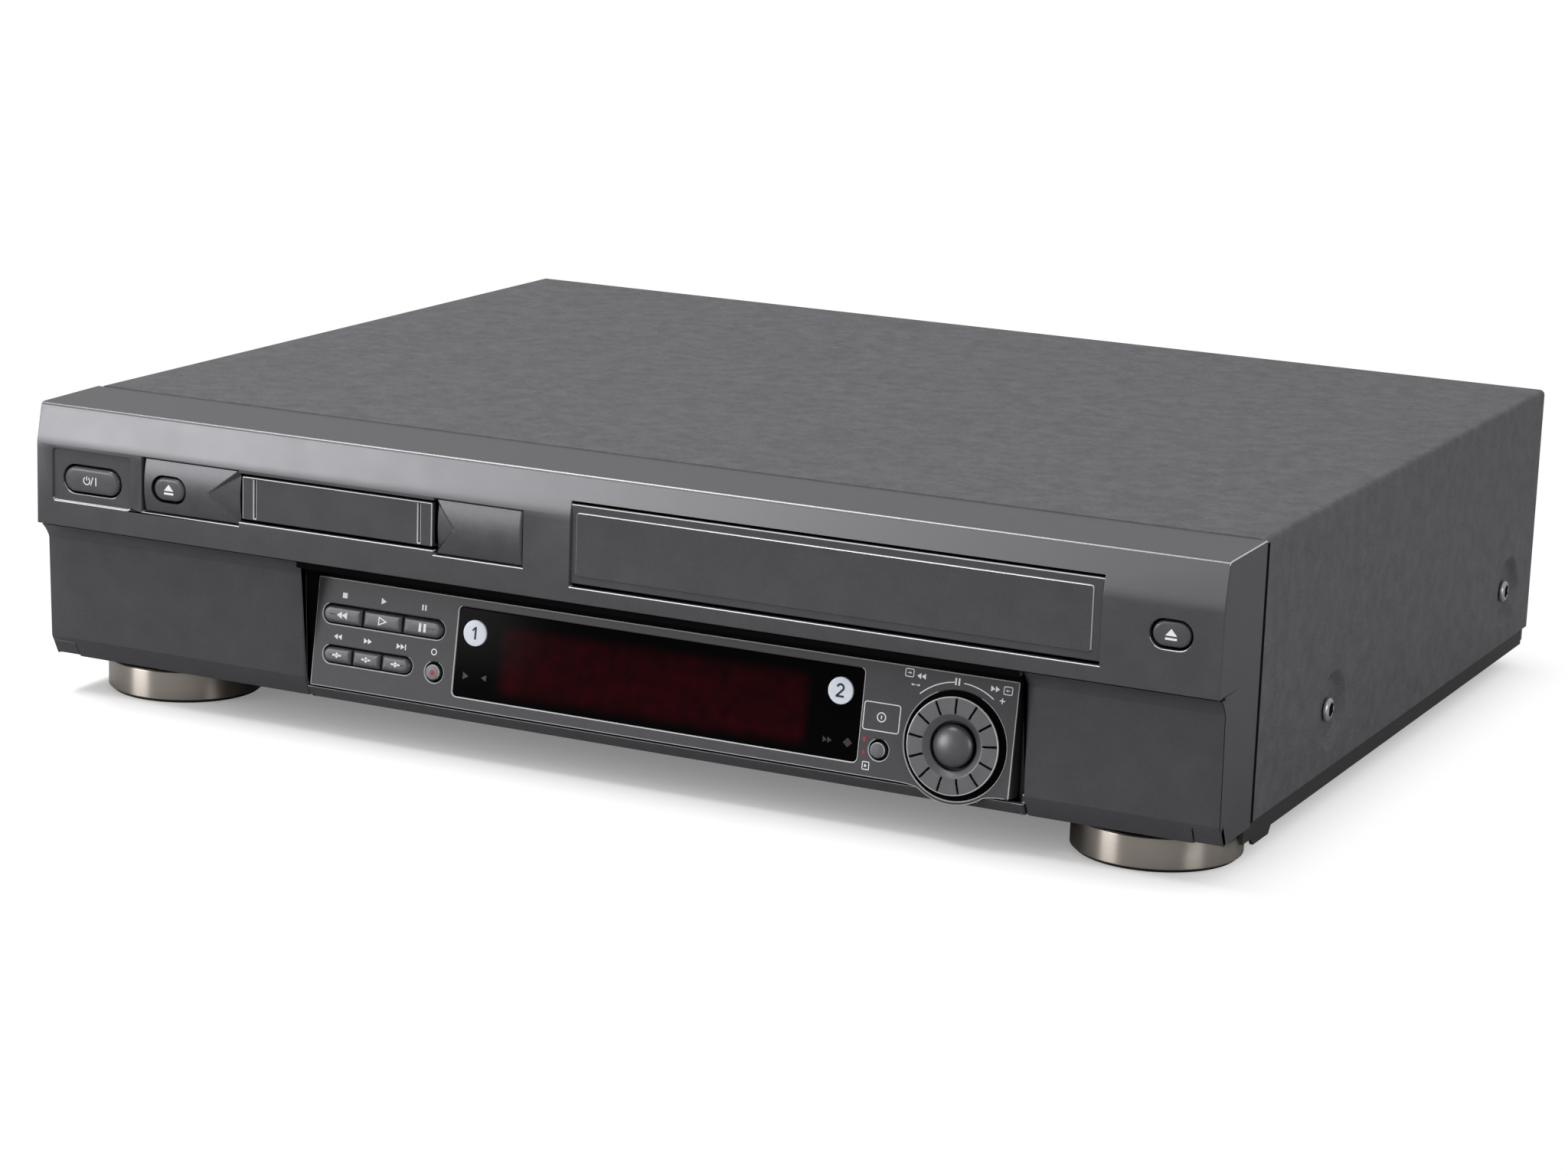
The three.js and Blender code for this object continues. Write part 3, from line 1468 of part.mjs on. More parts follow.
// Power supply: board, transformer, capacitors and a finned heat sink
function makeSupply() {
  const base = boardTop - weld;
  const parts = [
    block(supplyLeft, supplyRight, supplyFront, supplyBack, boardUnderside, boardTop),
    ...spacers(supplyLeft, supplyRight, supplyFront, supplyBack),
    block(
      supplyLeft + boardSpacerInset,
      supplyLeft + boardSpacerInset + transformerWidth,
      supplyFront + boardSpacerInset,
      supplyFront + boardSpacerInset + transformerLength,
      base,
      boardTop + transformerHeight,
    ),
  ];
  const row = supplyFront + boardSpacerInset + transformerLength + 2 * capacitorRadius;
  for (const x of [supplyLeft + 2 * capacitorRadius, supplyLeft + 5 * capacitorRadius]) {
    parts.push(bar("z", capacitorRadius, base, boardTop + capacitorHeight, x, row));
  }
  const sinkRight = supplyRight - boardSpacerInset;
  const sinkY = supplyBack - 2 * boardSpacerInset;
  const sinkTop = boardTop + sinkHeight;
  parts.push(block(sinkRight - sinkWidth, sinkRight, sinkY, sinkY + sinkThickness, base, sinkTop));
  for (let i = 0; i < finCount; i += 1) {
    const x = sinkRight - sinkWidth + (i * (sinkWidth - sinkThickness)) / (finCount - 1);
    parts.push(block(x, x + sinkThickness, sinkY - finLength, sinkY + weld, base, sinkTop));
  }
  return join(parts);
}
piece("power_supply", makeSupply(), boardGreen);

// Connectors on the back
const connectorFoot = boardTop + fitGap;
function makeInlet() {
  const [z0, z1] = [connectorFoot + inletLift, connectorFoot + inletLift + inletHeight];
  const middle = (z0 + z1) / 2;
  const mouthFront = rearPanelFace - inletMouthDepth;
  const mouth = pill(inletX, middle, inletMouthWidth, inletMouthHeight);
  const pins = [-1, 1].map((side) =>
    bar(
      "y",
      inletPinRadius,
      mouthFront - weld,
      rearPanelFace - overrun,
      inletX + (side * inletPinPitch) / 2,
      middle,
      tinySides,
    ),
  );
  const half = inletWidth / 2;
  return block(inletX - half, inletX + half, rearPanelFace - inletDepth, rearPanelFace, z0, z1)
    .subtract(prismY(mouth, mouthFront, rearPanelFace + overrun))
    .add(join(pins));
}
piece("mains_inlet", makeInlet(), blackPlastic);

function makePhonoBlock() {
  const half = (phonoColumns * phonoPitch) / 2;
  const [y0, y1] = [rearPanelFace - phonoDepth, rearPanelFace];
  const top = connectorFoot + 2 * phonoLift + phonoPitch;
  const parts = [block(phonoX - half, phonoX + half, y0, y1, connectorFoot, top)];
  const bores = [];
  for (let column = 0; column < phonoColumns; column += 1) {
    const x = phonoX - half + (column + 0.5) * phonoPitch;
    for (const z of [connectorFoot + phonoLift, connectorFoot + phonoLift + phonoPitch]) {
      parts.push(bar("y", phonoRadius, y1 - weld, rearReach, x, z));
      const bore = [rearReach - phonoBoreDepth, rearReach + overrun];
      bores.push(bar("y", phonoBoreRadius, ...bore, x, z, tinySides));
    }
  }
  return join(parts).subtract(join(bores));
}
piece("phono_block", makePhonoBlock(), whitePlastic);

const scartTop = connectorFoot + 2 * scartShell;
function makeScartBlock() {
  const [y0, y1] = [rearPanelFace - scartDepth, rearPanelFace + scartReach];
  const shell = block(scartX - scartWidth / 2, scartX + scartWidth / 2, y0, y1, connectorFoot, scartTop);
  const mouths = [0, 1].map((row) => {
    const middle = connectorFoot + (row + 0.5) * scartShell;
    return block(
      scartX - scartMouthWidth / 2,
      scartX + scartMouthWidth / 2,
      y1 - scartMouthDepth,
      y1 + overrun,
      middle - scartMouthHeight / 2,
      middle + scartMouthHeight / 2,
    );
  });
  return shell.subtract(join(mouths));
}
piece("scart_block", makeScartBlock(), blackPlastic);

const aerialHeight = connectorFoot + tunerHeight / 2;
const aerials = [tunerX - aerialPitch / 2, tunerX + aerialPitch / 2];
function makeTuner() {
  const y1 = rearPanelFace - rearSheet - fitGap;
  const can = block(
    tunerX - tunerWidth / 2,
    tunerX + tunerWidth / 2,
    y1 - tunerDepth,
    y1,
    connectorFoot,
    connectorFoot + tunerHeight,
  );
  const outlet = rearPanelFace + aerialReach;
  const sockets = aerials.map((x) => bar("y", aerialRadius, y1 - weld, outlet, x, aerialHeight));
  const bores = aerials.map((x) =>
    bar("y", aerialBoreRadius, rearPanelFace - aerialReach, outlet + overrun, x, aerialHeight, tinySides),
  );
  return can.add(join(sockets)).subtract(join(bores));
}
piece("tuner_module", makeTuner(), zincSteel);

// Rear panel with a window around each connector
function makeRearPanel() {
  const window = (x, width, z0, z1) =>
    block(
      x - width / 2 - fitGap,
      x + width / 2 + fitGap,
      rearPanelFace - rearSheet - overrun,
      rearPanelFace + overrun,
      z0 - fitGap,
      z1 + fitGap,
    );
  const phonoTop = connectorFoot + 2 * phonoLift + phonoPitch;
  const cuts = [
    window(inletX, inletWidth, connectorFoot + inletLift, connectorFoot + inletLift + inletHeight),
    window(phonoX, phonoColumns * phonoPitch, connectorFoot, phonoTop),
    window(scartX, scartWidth, connectorFoot, scartTop),
  ];
  for (const x of aerials) {
    cuts.push(
      bar(
        "y",
        aerialRadius + fitGap,
        rearPanelFace - rearSheet - overrun,
        rearPanelFace + overrun,
        x,
        aerialHeight,
      ),
    );
  }
  return block(
    -rearPanelHalfWidth,
    rearPanelHalfWidth,
    rearPanelFace - rearSheet,
    rearPanelFace,
    rearPanelBottom,
    rearPanelTop,
  ).subtract(join(cuts));
}
piece("rear_panel", makeRearPanel(), graphitePaint);

// Cassette deck: plate on four legs, with the fixed half of the drum, bearings and posts
const drumRotorBase = deckTop + drumBaseHeight + fitGap;
const pinchArmTop = pinchArmHeight + pinchArmThickness;
const supplyReelX = deckX - reelPitch / 2;
const takeupReelX = deckX + reelPitch / 2;
const camBase = deckTop + camLift;
const wormX = camX - camRadius - wormRadius - fitGap;
const wormHeight = camBase + camHeight / 2;
function makeDeckPlate() {
  const below = deckTop - weld;
  const parts = [
    block(deckX - deckHalfWidth, deckX + deckHalfWidth, deckFront, deckBack, deckHeight, deckTop),
    bar("z", drumRadius, below, deckTop + drumBaseHeight, deckX, drumY, roundSides),
    bar("z", bearingRadius, below, deckTop + bearingHeight, capstanX, capstanY),
    bar("z", camPostRadius, below, camBase + camHeight + weld, camX, camY, tinySides),
    bar("z", pinchPostRadius, below, pinchArmTop + weld, pinchPivotX, pinchPivotY, tinySides),
    bar("z", reelPinRadius, below, deckTop + reelPinHeight, supplyReelX, reelY, tinySides),
    bar("z", reelPinRadius, below, deckTop + reelPinHeight, takeupReelX, reelY, tinySides),
  ];
  for (const [x, y] of deckLegs) {
    const foot = (y < chassisLedge ? panFrontTop : panFloorTop) + fitGap;
    parts.push(bar("z", deckLegRadius, foot, deckHeight + weld, x, y, tinySides));
  }
  const shaftHole = deckTop + drumBaseHeight - drumShaftLength - fitGap;
  return join(parts)
    .subtract(bar("z", drumShaftRadius + fitGap, shaftHole, drumRotorBase, deckX, drumY))
    .subtract(
      bar(
        "z",
        capstanRadius + fitGap,
        deckHeight - overrun,
        deckTop + bearingHeight + overrun,
        capstanX,
        capstanY,
        tinySides,
      ),
    );
}
piece("deck_plate", makeDeckPlate(), zincSteel);

const drumTop = drumRotorBase + drumRotorHeight;
piece(
  "upper_drum",
  turned(
    "z",
    [
      [0, drumRotorBase - drumShaftLength],
      [drumShaftRadius, drumRotorBase - drumShaftLength],
      [drumShaftRadius, drumRotorBase],
      [drumRadius, drumRotorBase],
      [drumRadius, drumTop - drumGroove],
      [drumRadius - drumGroove, drumTop],
      [0, drumTop],
    ],
    deckX,
    drumY,
  ),
  drumMetal,
);

const flywheelTop = deckHeight - flywheelDrop;
piece(
  "capstan_flywheel",
  turned(
    "z",
    [
      [0, flywheelTop - flywheelHeight],
      [flywheelRadius, flywheelTop - flywheelHeight],
      [flywheelRadius, flywheelTop],
      [capstanRadius, flywheelTop],
      [capstanRadius, capstanTop],
      [0, capstanTop],
    ],
    capstanX,
    capstanY,
    roundSides,
  ),
  drumMetal,
);

function makeReel(x) {
  const base = deckTop + fitGap;
  const bore = reelPinRadius + fitGap;
  const boreTop = deckTop + reelPinHeight + fitGap;
  const profile = [
    [0, boreTop],
    [bore, boreTop],
    [bore, base],
    [reelDiscRadius, base],
    [reelDiscRadius, base + reelDiscHeight],
    [reelPostRadius, base + reelDiscHeight],
    [reelPostRadius, base + reelPostHeight],
    [0, base + reelPostHeight],
  ];
  const splines = [];
  for (let i = 0; i < splineCount; i += 1) {
    const length = reelPostHeight - reelDiscHeight - 2 * splineHeight;
    const spline = new THREE.BoxGeometry(splineHeight, 2 * splineHeight, length);
    spline.translate(0, reelPostRadius, base + reelDiscHeight - weld + length / 2);
    spline.rotateZ((2 * Math.PI * i) / splineCount);
    spline.translate(x, reelY, 0);
    splines.push(solid(spline));
  }
  return turned("z", profile, x, reelY, smallSides).add(join(splines));
}
piece("supply_reel", makeReel(supplyReelX), whitePlastic);
piece("takeup_reel", makeReel(takeupReelX), whitePlastic);

// Pinch roller on its swinging arm
const rollerX = pinchPivotX + pinchArmLength * Math.cos(pinchRestAngle);
const rollerY = pinchPivotY + pinchArmLength * Math.sin(pinchRestAngle);
function makePinchArm() {
  const half = pinchArmWidth / 2;
  const arm = new THREE.Shape();
  arm.absarc(0, 0, half, Math.PI / 2, 1.5 * Math.PI);
  arm.absarc(pinchArmLength, 0, half, -Math.PI / 2, Math.PI / 2);
  const geometry = new THREE.ExtrudeGeometry(arm, {
    depth: pinchArmThickness,
    bevelEnabled: false,
    curveSegments: cornerSegments,
  });
  geometry.rotateZ(pinchRestAngle);
  geometry.translate(pinchPivotX, pinchPivotY, pinchArmHeight);
  const base = deckTop + fitGap;
  const pinTop = pinchArmTop + pinchRollerHeight + 2 * fitGap;
  return join([
    solid(geometry),
    bar("z", half, base, pinchArmHeight + weld, pinchPivotX, pinchPivotY),
    bar("z", pinchPinRadius, pinchArmTop - weld, pinTop + weld, rollerX, rollerY, tinySides),
    bar("z", pinchPinHeadRadius, pinTop, pinTop + pinchArmThickness, rollerX, rollerY, tinySides),
  ]).subtract(
    bar("z", pinchPostRadius + fitGap, base - overrun, pinchArmTop + overrun, pinchPivotX, pinchPivotY),
  );
}
piece("pinch_roller_arm", makePinchArm(), zincSteel);

const rollerBase = pinchArmTop + fitGap;
const rollerBore = pinchPinRadius + fitGap;
piece(
  "pinch_roller",
  turned(
    "z",
    [
      [rollerBore, rollerBase],
      [pinchRollerRadius, rollerBase],
      [pinchRollerRadius, rollerBase + pinchRollerHeight],
      [rollerBore, rollerBase + pinchRollerHeight],
      [rollerBore, rollerBase],
    ],
    rollerX,
    rollerY,
    smallSides,
  ),
  rubberBlack,
);

// Loading drive: motor, worm and cam gear
function makeCamGear() {
  const points = [];
  for (let i = 0; i < camTeeth; i += 1) {
    const start = (2 * Math.PI * i) / camTeeth;
    const step = (2 * Math.PI) / camTeeth / 4;
    [camRadius - toothDepth, camRadius - toothDepth, camRadius, camRadius].forEach((radius, k) => {
      points.push([camX + radius * Math.cos(start + k * step), camY + radius * Math.sin(start + k * step)]);
    });
  }
  const bore = [deckTop - overrun, camBase + camHeight + overrun];
  return prismZ(polygon(points), camBase, camBase + camHeight)
    .add(bar("z", camHubRadius, deckTop + fitGap, camBase + weld, camX, camY))
    .subtract(bar("z", camPostRadius + fitGap, ...bore, camX, camY, tinySides));
}
piece("cam_gear", makeCamGear(), whitePlastic);

function makeWorm() {
  const start = camY - wormLength / 2;
  const pitch = wormLength / wormTurns;
  const bore = motorShaftRadius + fitGap;
  const profile = [[bore, start]];
  for (let i = 0; i < wormTurns; i += 1) {
    profile.push(
      [wormRadius - wormGroove, start + i * pitch],
      [wormRadius, start + (i + 0.25) * pitch],
      [wormRadius, start + (i + 0.5) * pitch],
      [wormRadius - wormGroove, start + (i + 0.75) * pitch],
    );
  }
  profile.push([wormRadius - wormGroove, start + wormLength], [bore, start + wormLength], [bore, start]);
  return turned("y", profile, wormX, wormHeight, tinySides);
}
piece("loading_worm", makeWorm(), whitePlastic);

function makeMotor() {
  const front = camY + wormLength / 2 + motorShaftReach;
  const half = motorFootWidth / 2;
  const base = deckX - deckHalfWidth + half;
  const shaftEnd = front - motorShaftReach - wormLength;
  return join([
    bar("y", motorRadius, front, front + motorLength, wormX, wormHeight),
    bar("y", motorShaftRadius, shaftEnd, front + weld, wormX, wormHeight, tinySides),
    block(
      base - half,
      base + half,
      front + motorShaftReach,
      front + motorLength - motorShaftReach,
      deckTop + fitGap,
      wormHeight,
    ),
  ]);
}
piece("loading_motor", makeMotor(), zincSteel);

// Cassette carriage: a fixed frame, a trolley that runs back in it and a basket that sinks in the trolley
const basketHalf = cassetteWidth / 2 + carriageSheet;
const basketTop = basketFloor + cassetteThickness + 2 * carriageSheet;
const trolleyHalf = basketHalf + fitGap + carriageSheet;
const frameHalf = trolleyHalf + fitGap + carriageSheet;
function bracketPair(x, half, y0, y1, z0, z1, width = carriageSheet) {
  return join([-1, 1].map((side) => block(x + side * half, x + side * (half - width), y0, y1, z0, z1)));
}
const barBase = basketTop + fitGap;
const frameBase = barBase + carriageSheet + fitGap;
piece(
  "carriage_frame",
  bracketPair(
    deckX,
    frameHalf,
    frameFront,
    frameFront + frameLength,
    deckTop + fitGap,
    frameBase + carriageSheet,
  ).add(
    block(
      deckX - frameHalf + weld,
      deckX + frameHalf - weld,
      frameFront,
      frameFront + frameBar,
      frameBase,
      frameBase + carriageSheet,
    ),
  ),
  zincSteel,
);
const trolleyMiddle = trolleyFront + trolleyLength / 2;
piece(
  "carriage_trolley",
  bracketPair(
    deckX,
    trolleyHalf,
    trolleyFront,
    trolleyFront + trolleyLength,
    trolleyBottom,
    barBase + carriageSheet,
  ).add(
    block(
      deckX - trolleyHalf + weld,
      deckX + trolleyHalf - weld,
      trolleyMiddle - trolleyBar / 2,
      trolleyMiddle + trolleyBar / 2,
      barBase,
      barBase + carriageSheet,
    ),
  ),
  zincSteel,
);

// A basket open at the front, back and middle of its floor
function makeBasket(x, half, front, depth, floor, thickness, rail) {
  const top = floor + thickness + 2 * carriageSheet;
  return join([
    bracketPair(x, half, front, front + depth, floor, top),
    bracketPair(x, half, front, front + depth, floor, floor + carriageSheet, rail),
    block(x - half, x + half, front, front + depth, top - carriageSheet, top),
  ]);
}
piece(
  "cassette_basket",
  makeBasket(deckX, basketHalf, basketFront, cassetteDepth, basketFloor, cassetteThickness, basketRail),
  zincSteel,
);

// Small cassette deck on its own legs
const smallTop = smallDeckHeight + smallDeckSheet;
const smallBasketHalf = smallCassetteWidth / 2 + carriageSheet;
const smallRotorBase = smallTop + smallDrumBase + fitGap;
function makeSmallDeck() {
  const parts = [
    block(
      smallX - smallDeckHalfWidth,
      smallX + smallDeckHalfWidth,
      smallDeckFront,
      smallDeckBack,
      smallDeckHeight,
      smallTop,
    ),
    bar("z", smallDrumRadius, smallTop - weld, smallTop + smallDrumBase, smallX, smallDrumY),
    bracketPair(
      smallX,
      smallBasketHalf + fitGap + carriageSheet,
      smallDeckFront,
      smallBasketFront + smallCassetteDepth,
      smallTop - weld,
      smallGuideTop,
    ),
  ];
  for (const side of [-1, 1]) {
    const x = smallX + side * (smallDeckHalfWidth - smallLegInset);
    for (const y of [smallDeckFront + smallLegInset, smallDeckBack - smallLegInset]) {
      const foot = (y < chassisLedge ? panFrontTop : panFloorTop) + fitGap;
      parts.push(bar("z", smallLegRadius, foot, smallDeckHeight + weld, x, y, tinySides));
    }
  }
  const hole = smallTop + smallDrumBase - smallShaftLength - fitGap;
  return join(parts).subtract(
    bar("z", smallShaftRadius + fitGap, hole, smallRotorBase, smallX, smallDrumY, tinySides),
  );
}
piece("small_deck_plate", makeSmallDeck(), zincSteel);
piece(
  "small_drum",
  turned(
    "z",
    [
      [0, smallRotorBase - smallShaftLength],
      [smallShaftRadius, smallRotorBase - smallShaftLength],
      [smallShaftRadius, smallRotorBase],
      [smallDrumRadius, smallRotorBase],
      [smallDrumRadius, smallRotorBase + smallDrumHeight],
      [0, smallRotorBase + smallDrumHeight],
    ],
    smallX,
    smallDrumY,
    smallSides,
  ),
  drumMetal,
);
piece(
  "small_basket",
  makeBasket(
    smallX,
    smallBasketHalf,
    smallBasketFront,
    smallCassetteDepth,
    smallBasketFloor,
    smallCassetteThickness,
    smallBasketRail,
  ),
  zincSteel,
);

export default recorder;
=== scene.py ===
# %% [markdown]
# # A video recorder for two sizes of cassette
# The real machine is a flat box of painted sheet steel with a moulded plastic front.
# Its inside and its moving parts come from a fixed frame of plain solids.
# This lesson gives each of them its surface, and it draws again the parts that the eye rests on.
# Everything is in metres, in the frame's own axes: X to the right, Y to the back, Z up.

import json
import math

import bmesh
import bpy
import numpy as np
from mathutils import Matrix, Vector

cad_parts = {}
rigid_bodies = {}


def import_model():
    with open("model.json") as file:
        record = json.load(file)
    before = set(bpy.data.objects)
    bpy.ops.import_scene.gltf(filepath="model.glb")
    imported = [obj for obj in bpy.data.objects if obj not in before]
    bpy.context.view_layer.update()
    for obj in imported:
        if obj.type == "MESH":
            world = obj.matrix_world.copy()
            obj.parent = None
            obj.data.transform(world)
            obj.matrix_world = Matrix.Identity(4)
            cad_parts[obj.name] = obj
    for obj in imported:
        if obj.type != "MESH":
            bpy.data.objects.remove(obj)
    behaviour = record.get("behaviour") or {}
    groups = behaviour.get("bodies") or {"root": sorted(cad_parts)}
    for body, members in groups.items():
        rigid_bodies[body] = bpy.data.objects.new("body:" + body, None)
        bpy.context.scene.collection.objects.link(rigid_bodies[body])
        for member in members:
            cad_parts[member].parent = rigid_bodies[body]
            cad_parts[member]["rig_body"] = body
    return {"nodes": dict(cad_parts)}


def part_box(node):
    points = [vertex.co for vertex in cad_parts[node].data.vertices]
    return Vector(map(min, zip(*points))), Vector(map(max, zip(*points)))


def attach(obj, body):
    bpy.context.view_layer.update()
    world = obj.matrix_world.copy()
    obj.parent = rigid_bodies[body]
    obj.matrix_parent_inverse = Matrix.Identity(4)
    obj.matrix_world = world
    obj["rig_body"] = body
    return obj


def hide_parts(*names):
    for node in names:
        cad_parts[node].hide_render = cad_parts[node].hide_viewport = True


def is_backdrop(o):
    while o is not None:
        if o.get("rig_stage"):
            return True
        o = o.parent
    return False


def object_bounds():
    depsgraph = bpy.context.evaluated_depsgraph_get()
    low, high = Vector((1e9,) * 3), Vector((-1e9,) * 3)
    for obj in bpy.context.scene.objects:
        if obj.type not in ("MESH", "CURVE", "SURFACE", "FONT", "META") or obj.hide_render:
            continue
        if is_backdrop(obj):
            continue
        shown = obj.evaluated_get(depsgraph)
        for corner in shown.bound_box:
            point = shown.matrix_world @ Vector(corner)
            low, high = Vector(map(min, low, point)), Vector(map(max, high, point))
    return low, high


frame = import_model()
cad_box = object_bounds()
nodes = frame["nodes"]
root = "cabinet"

# %% [markdown]
# ## Two drawings in millimetres
# The front is easiest to draw as a designer does, in millimetres from the plane of the cassette
# doors. The control panel leans back by a few degrees, so it has a drawing of its own that turns
# with it. A drawing is a 4 x 4 matrix, which turns, scales and shifts whole arrays of points at
# once. The same matrix, inverted, measures a solid of the frame in the drawing's millimetres. A box
# here is four numbers: left, right, bottom and top.

# %% Drawings
mm = 0.001
panel_lean = math.radians(8.5)
panel_foot = Vector((0, 8, 19))
front_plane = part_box("front_fascia")[0].y
FRONT = Matrix.Translation((0, front_plane, 0)) @ Matrix.Scale(mm, 4)
PANEL = FRONT @ Matrix.Translation(panel_foot) @ Matrix.Rotation(-panel_lean, 4, "X")


def placed(points, drawing):
    """Each point is turned, scaled and shifted by the matrix: p' = M p + t, for all rows."""
    matrix = np.array(drawing)
    return points @ matrix[:3, :3].T + matrix[:3, 3]


def seen(node, drawing, depth=math.inf):
    """Lowest and highest corner, in a drawing's mm, of a solid's points in front of a depth."""
    vertices = nodes[node].data.vertices
    flat = np.empty(3 * len(vertices))
    vertices.foreach_get("co", flat)
    points = placed(flat.reshape(-1, 3), drawing.inverted())
    points = points[points[:, 1] < depth]
    return points.min(0), points.max(0)


def face_of(node, drawing, depth=math.inf):
    """Box and front of the part of a solid that shows before a depth."""
    low, high = seen(node, drawing, depth)
    return (low[0], high[0], low[2], high[2]), low[1]


def narrowed(box, gap):
    """A box whose four sides are moved in by a gap."""
    left, right, bottom, top = box
    return left + gap, right - gap, bottom + gap, top - gap


def centre_of(box):
    """The middle of a box."""
    left, right, bottom, top = box
    return (left + right) / 2, (bottom + top) / 2


print("the front plane lies at y =", round(front_plane / mm, 1), "mm")

# %% [markdown]
# ## The camera
# A long lens, a little above the machine and to its right, gives the calm perspective of a product
# picture. The roll is small, but the picture's uprights lean without it.

# %% Camera
lens_place = Vector((624.0, front_plane / mm - 1138.3, 376.4)) * mm
look_side = math.radians(25.78)
look_down = math.radians(13.14)
camera_roll = math.radians(2.03)
camera_data = bpy.data.cameras.new("camera")
camera_data.lens = 90.4
camera_data.sensor_width = 36
camera = bpy.data.objects.new("camera", camera_data)
bpy.context.scene.collection.objects.link(camera)
bpy.context.scene.camera = camera
level_sight = Vector((-math.sin(look_side), math.cos(look_side), 0)) * math.cos(look_down)
sight = level_sight - Vector((0, 0, math.sin(look_down)))
aim = sight.to_track_quat("-Z", "Y").to_matrix() @ Matrix.Rotation(camera_roll, 3, "Z")
camera.matrix_world = Matrix.Translation(lens_place) @ aim.to_4x4()
print("the camera stands", round(lens_place.length, 2), "m from the middle of the machine")

# %% [markdown]
# ## Small tools for materials
# A colour is written as it looks on a screen, and a shader works with light, so one function
# converts. Another adds a node with its options and links, which keeps each material short enough
# to read. Patterns are sized in millimetres: a texture's scale is how many of its cells lie in one
# metre.


# %% Material tools
def linear(colour):
    """sRGB hex to light: c / 12.92 near black, and ((c + 0.055) / 1.055) ** 2.4 above it."""
    srgb = np.array([int(colour[i : i + 2], 16) for i in (1, 3, 5)]) / 255
    light = np.where(srgb > 0.04045, ((srgb + 0.055) / 1.055) ** 2.4, srgb / 12.92)
    return (*light.tolist(), 1.0)


def plug(tree, node, sockets):
    """Each named input is set to a value or linked to a socket."""
    for name, value in sockets.items():
        if isinstance(value, bpy.types.NodeSocket):
            tree.links.new(value, node.inputs[name])
        else:
            node.inputs[name].default_value = value


def add(tree, kind, sockets=None, **options):
    """One shader node with its options, and with its inputs set or linked."""
    made = tree.nodes.new("ShaderNode" + kind)
    for name, value in options.items():
        setattr(made, name, value)
    plug(tree, made, sockets or {})
    return made


def cells(size):
    """Scale of a texture whose cells measure size mm."""
    return 1 / (size * mm)


def finish(name, colour, roughness, **sockets):
    """A material, its tree, its Principled shader with the uniform values on the shader's sockets,
    and the object coordinates that every pattern is drawn in."""
    material = bpy.data.materials.new(name)
    material.use_nodes = True
    tree = material.node_tree
    shader = tree.nodes["Principled BSDF"]
    values = {socket.replace("_", " "): value for socket, value in sockets.items()}
    plug(tree, shader, {"Base Color": linear(colour), "Roughness": roughness, **values})
    return material, tree, shader, add(tree, "TexCoord").outputs["Object"]


def textured(made, low, high, roughness, share, gloss, spread, ends, height=None, depth=0.0):
    """The share mixes two colours, the gloss between its ends moves the roughness by the spread to
    either side, and the height, if there is one, is a bump of a depth in mm."""
    material, tree, shader, _ = made
    colour = add(tree, "Mix", {0: share, 6: linear(low), 7: linear(high)}, data_type="RGBA")
    span = {0: gloss, 1: ends[0], 2: ends[1], 3: roughness - spread, 4: roughness + spread}
    rough = add(tree, "MapRange", span)
    plug(tree, shader, {"Base Color": colour.outputs[2], "Roughness": rough.outputs[0]})
    if height is not None:
        bump = add(tree, "Bump", {"Height": height, "Distance": depth * mm, "Strength": 1.0})
        plug(tree, shader, {"Normal": bump.outputs["Normal"]})
    return material


print("mid grey #808080 is", round(linear("#808080")[0], 3), "of white as light")

# %% [markdown]
# ## Moulded and painted surfaces
# A moulded or sprayed surface is never flat in tone: fine grain catches the light, and wider clouds
# drift over it. Both are noise in object coordinates, so they stay on the piece when it moves. The
# grain also drives a bump of a few hundredths of a millimetre, and the clouds change the gloss a
# little. The real grain is finer than one picture element, so it is drawn about twice as coarse, to
# show at all.


# %% Grain
def grained(name, low, high, roughness, grain, depth, cloud=14.0, **sockets):
    """Colour runs from low to high with noise of two sizes in mm. The finer one is also a bump."""
    made = finish(name, low, roughness, **sockets)
    _, tree, _, place = made
    fine = {"Vector": place, "Scale": cells(grain), "Detail": 2.0, "Roughness": 0.6}
    fine = add(tree, "TexNoise", fine).outputs["Fac"]
    wide = {"Vector": place, "Scale": cells(cloud), "Detail": 3.0}
    wide = add(tree, "TexNoise", wide).outputs["Fac"]
    both = add(tree, "Math", {0: fine, 1: wide}, operation="ADD").outputs[0]
    share = add(tree, "MapRange", {0: both, 1: 0.7, 2: 1.3}).outputs[0]
    return textured(made, low, high, roughness, share, wide, 0.012, (0.3, 0.7), fine, depth)


# Textured enamel, sprayed on sheet steel and baked: an even, dry grey with a leathery grain.
textured_enamel = grained("textured enamel on steel", "#48474a", "#5c5b60", 0.55, 1.1, 0.035, 6.0)
# The chassis below it has the same enamel in near black, so that it reads as a shadow line.
dark_enamel = grained("dark enamel on steel", "#262628", "#303032", 0.5, 1.1, 0.01)
# Painted ABS, moulded with a fine spark-eroded grain: a satin graphite with a soft sheen.
graphite = ("#454548", "#4c4c4f", 0.38, 0.8)
sheen = {"Specular_IOR_Level": 0.32}
painted_abs = grained("satin painted ABS", *graphite, 0.006, 9.0, **sheen)
# A pale paint on rounds that face up or sideways is a painted highlight along the edges.
edge_highlight_paint = grained(
    "pale paint as painted edge highlight", "#cfcfd1", "#d8d8da", 0.34, 0.8, 0.001, 5.0, Metallic=0.3
)
# Keys have a lacquer with a fine flake of aluminium, which fingers polish, so their edges catch a
# narrow light.
key_lacquer = grained(
    "fine flake lacquer on keys", "#58585b", "#616164", 0.32, 0.7, 0.003, 5.0, Metallic=0.5
)
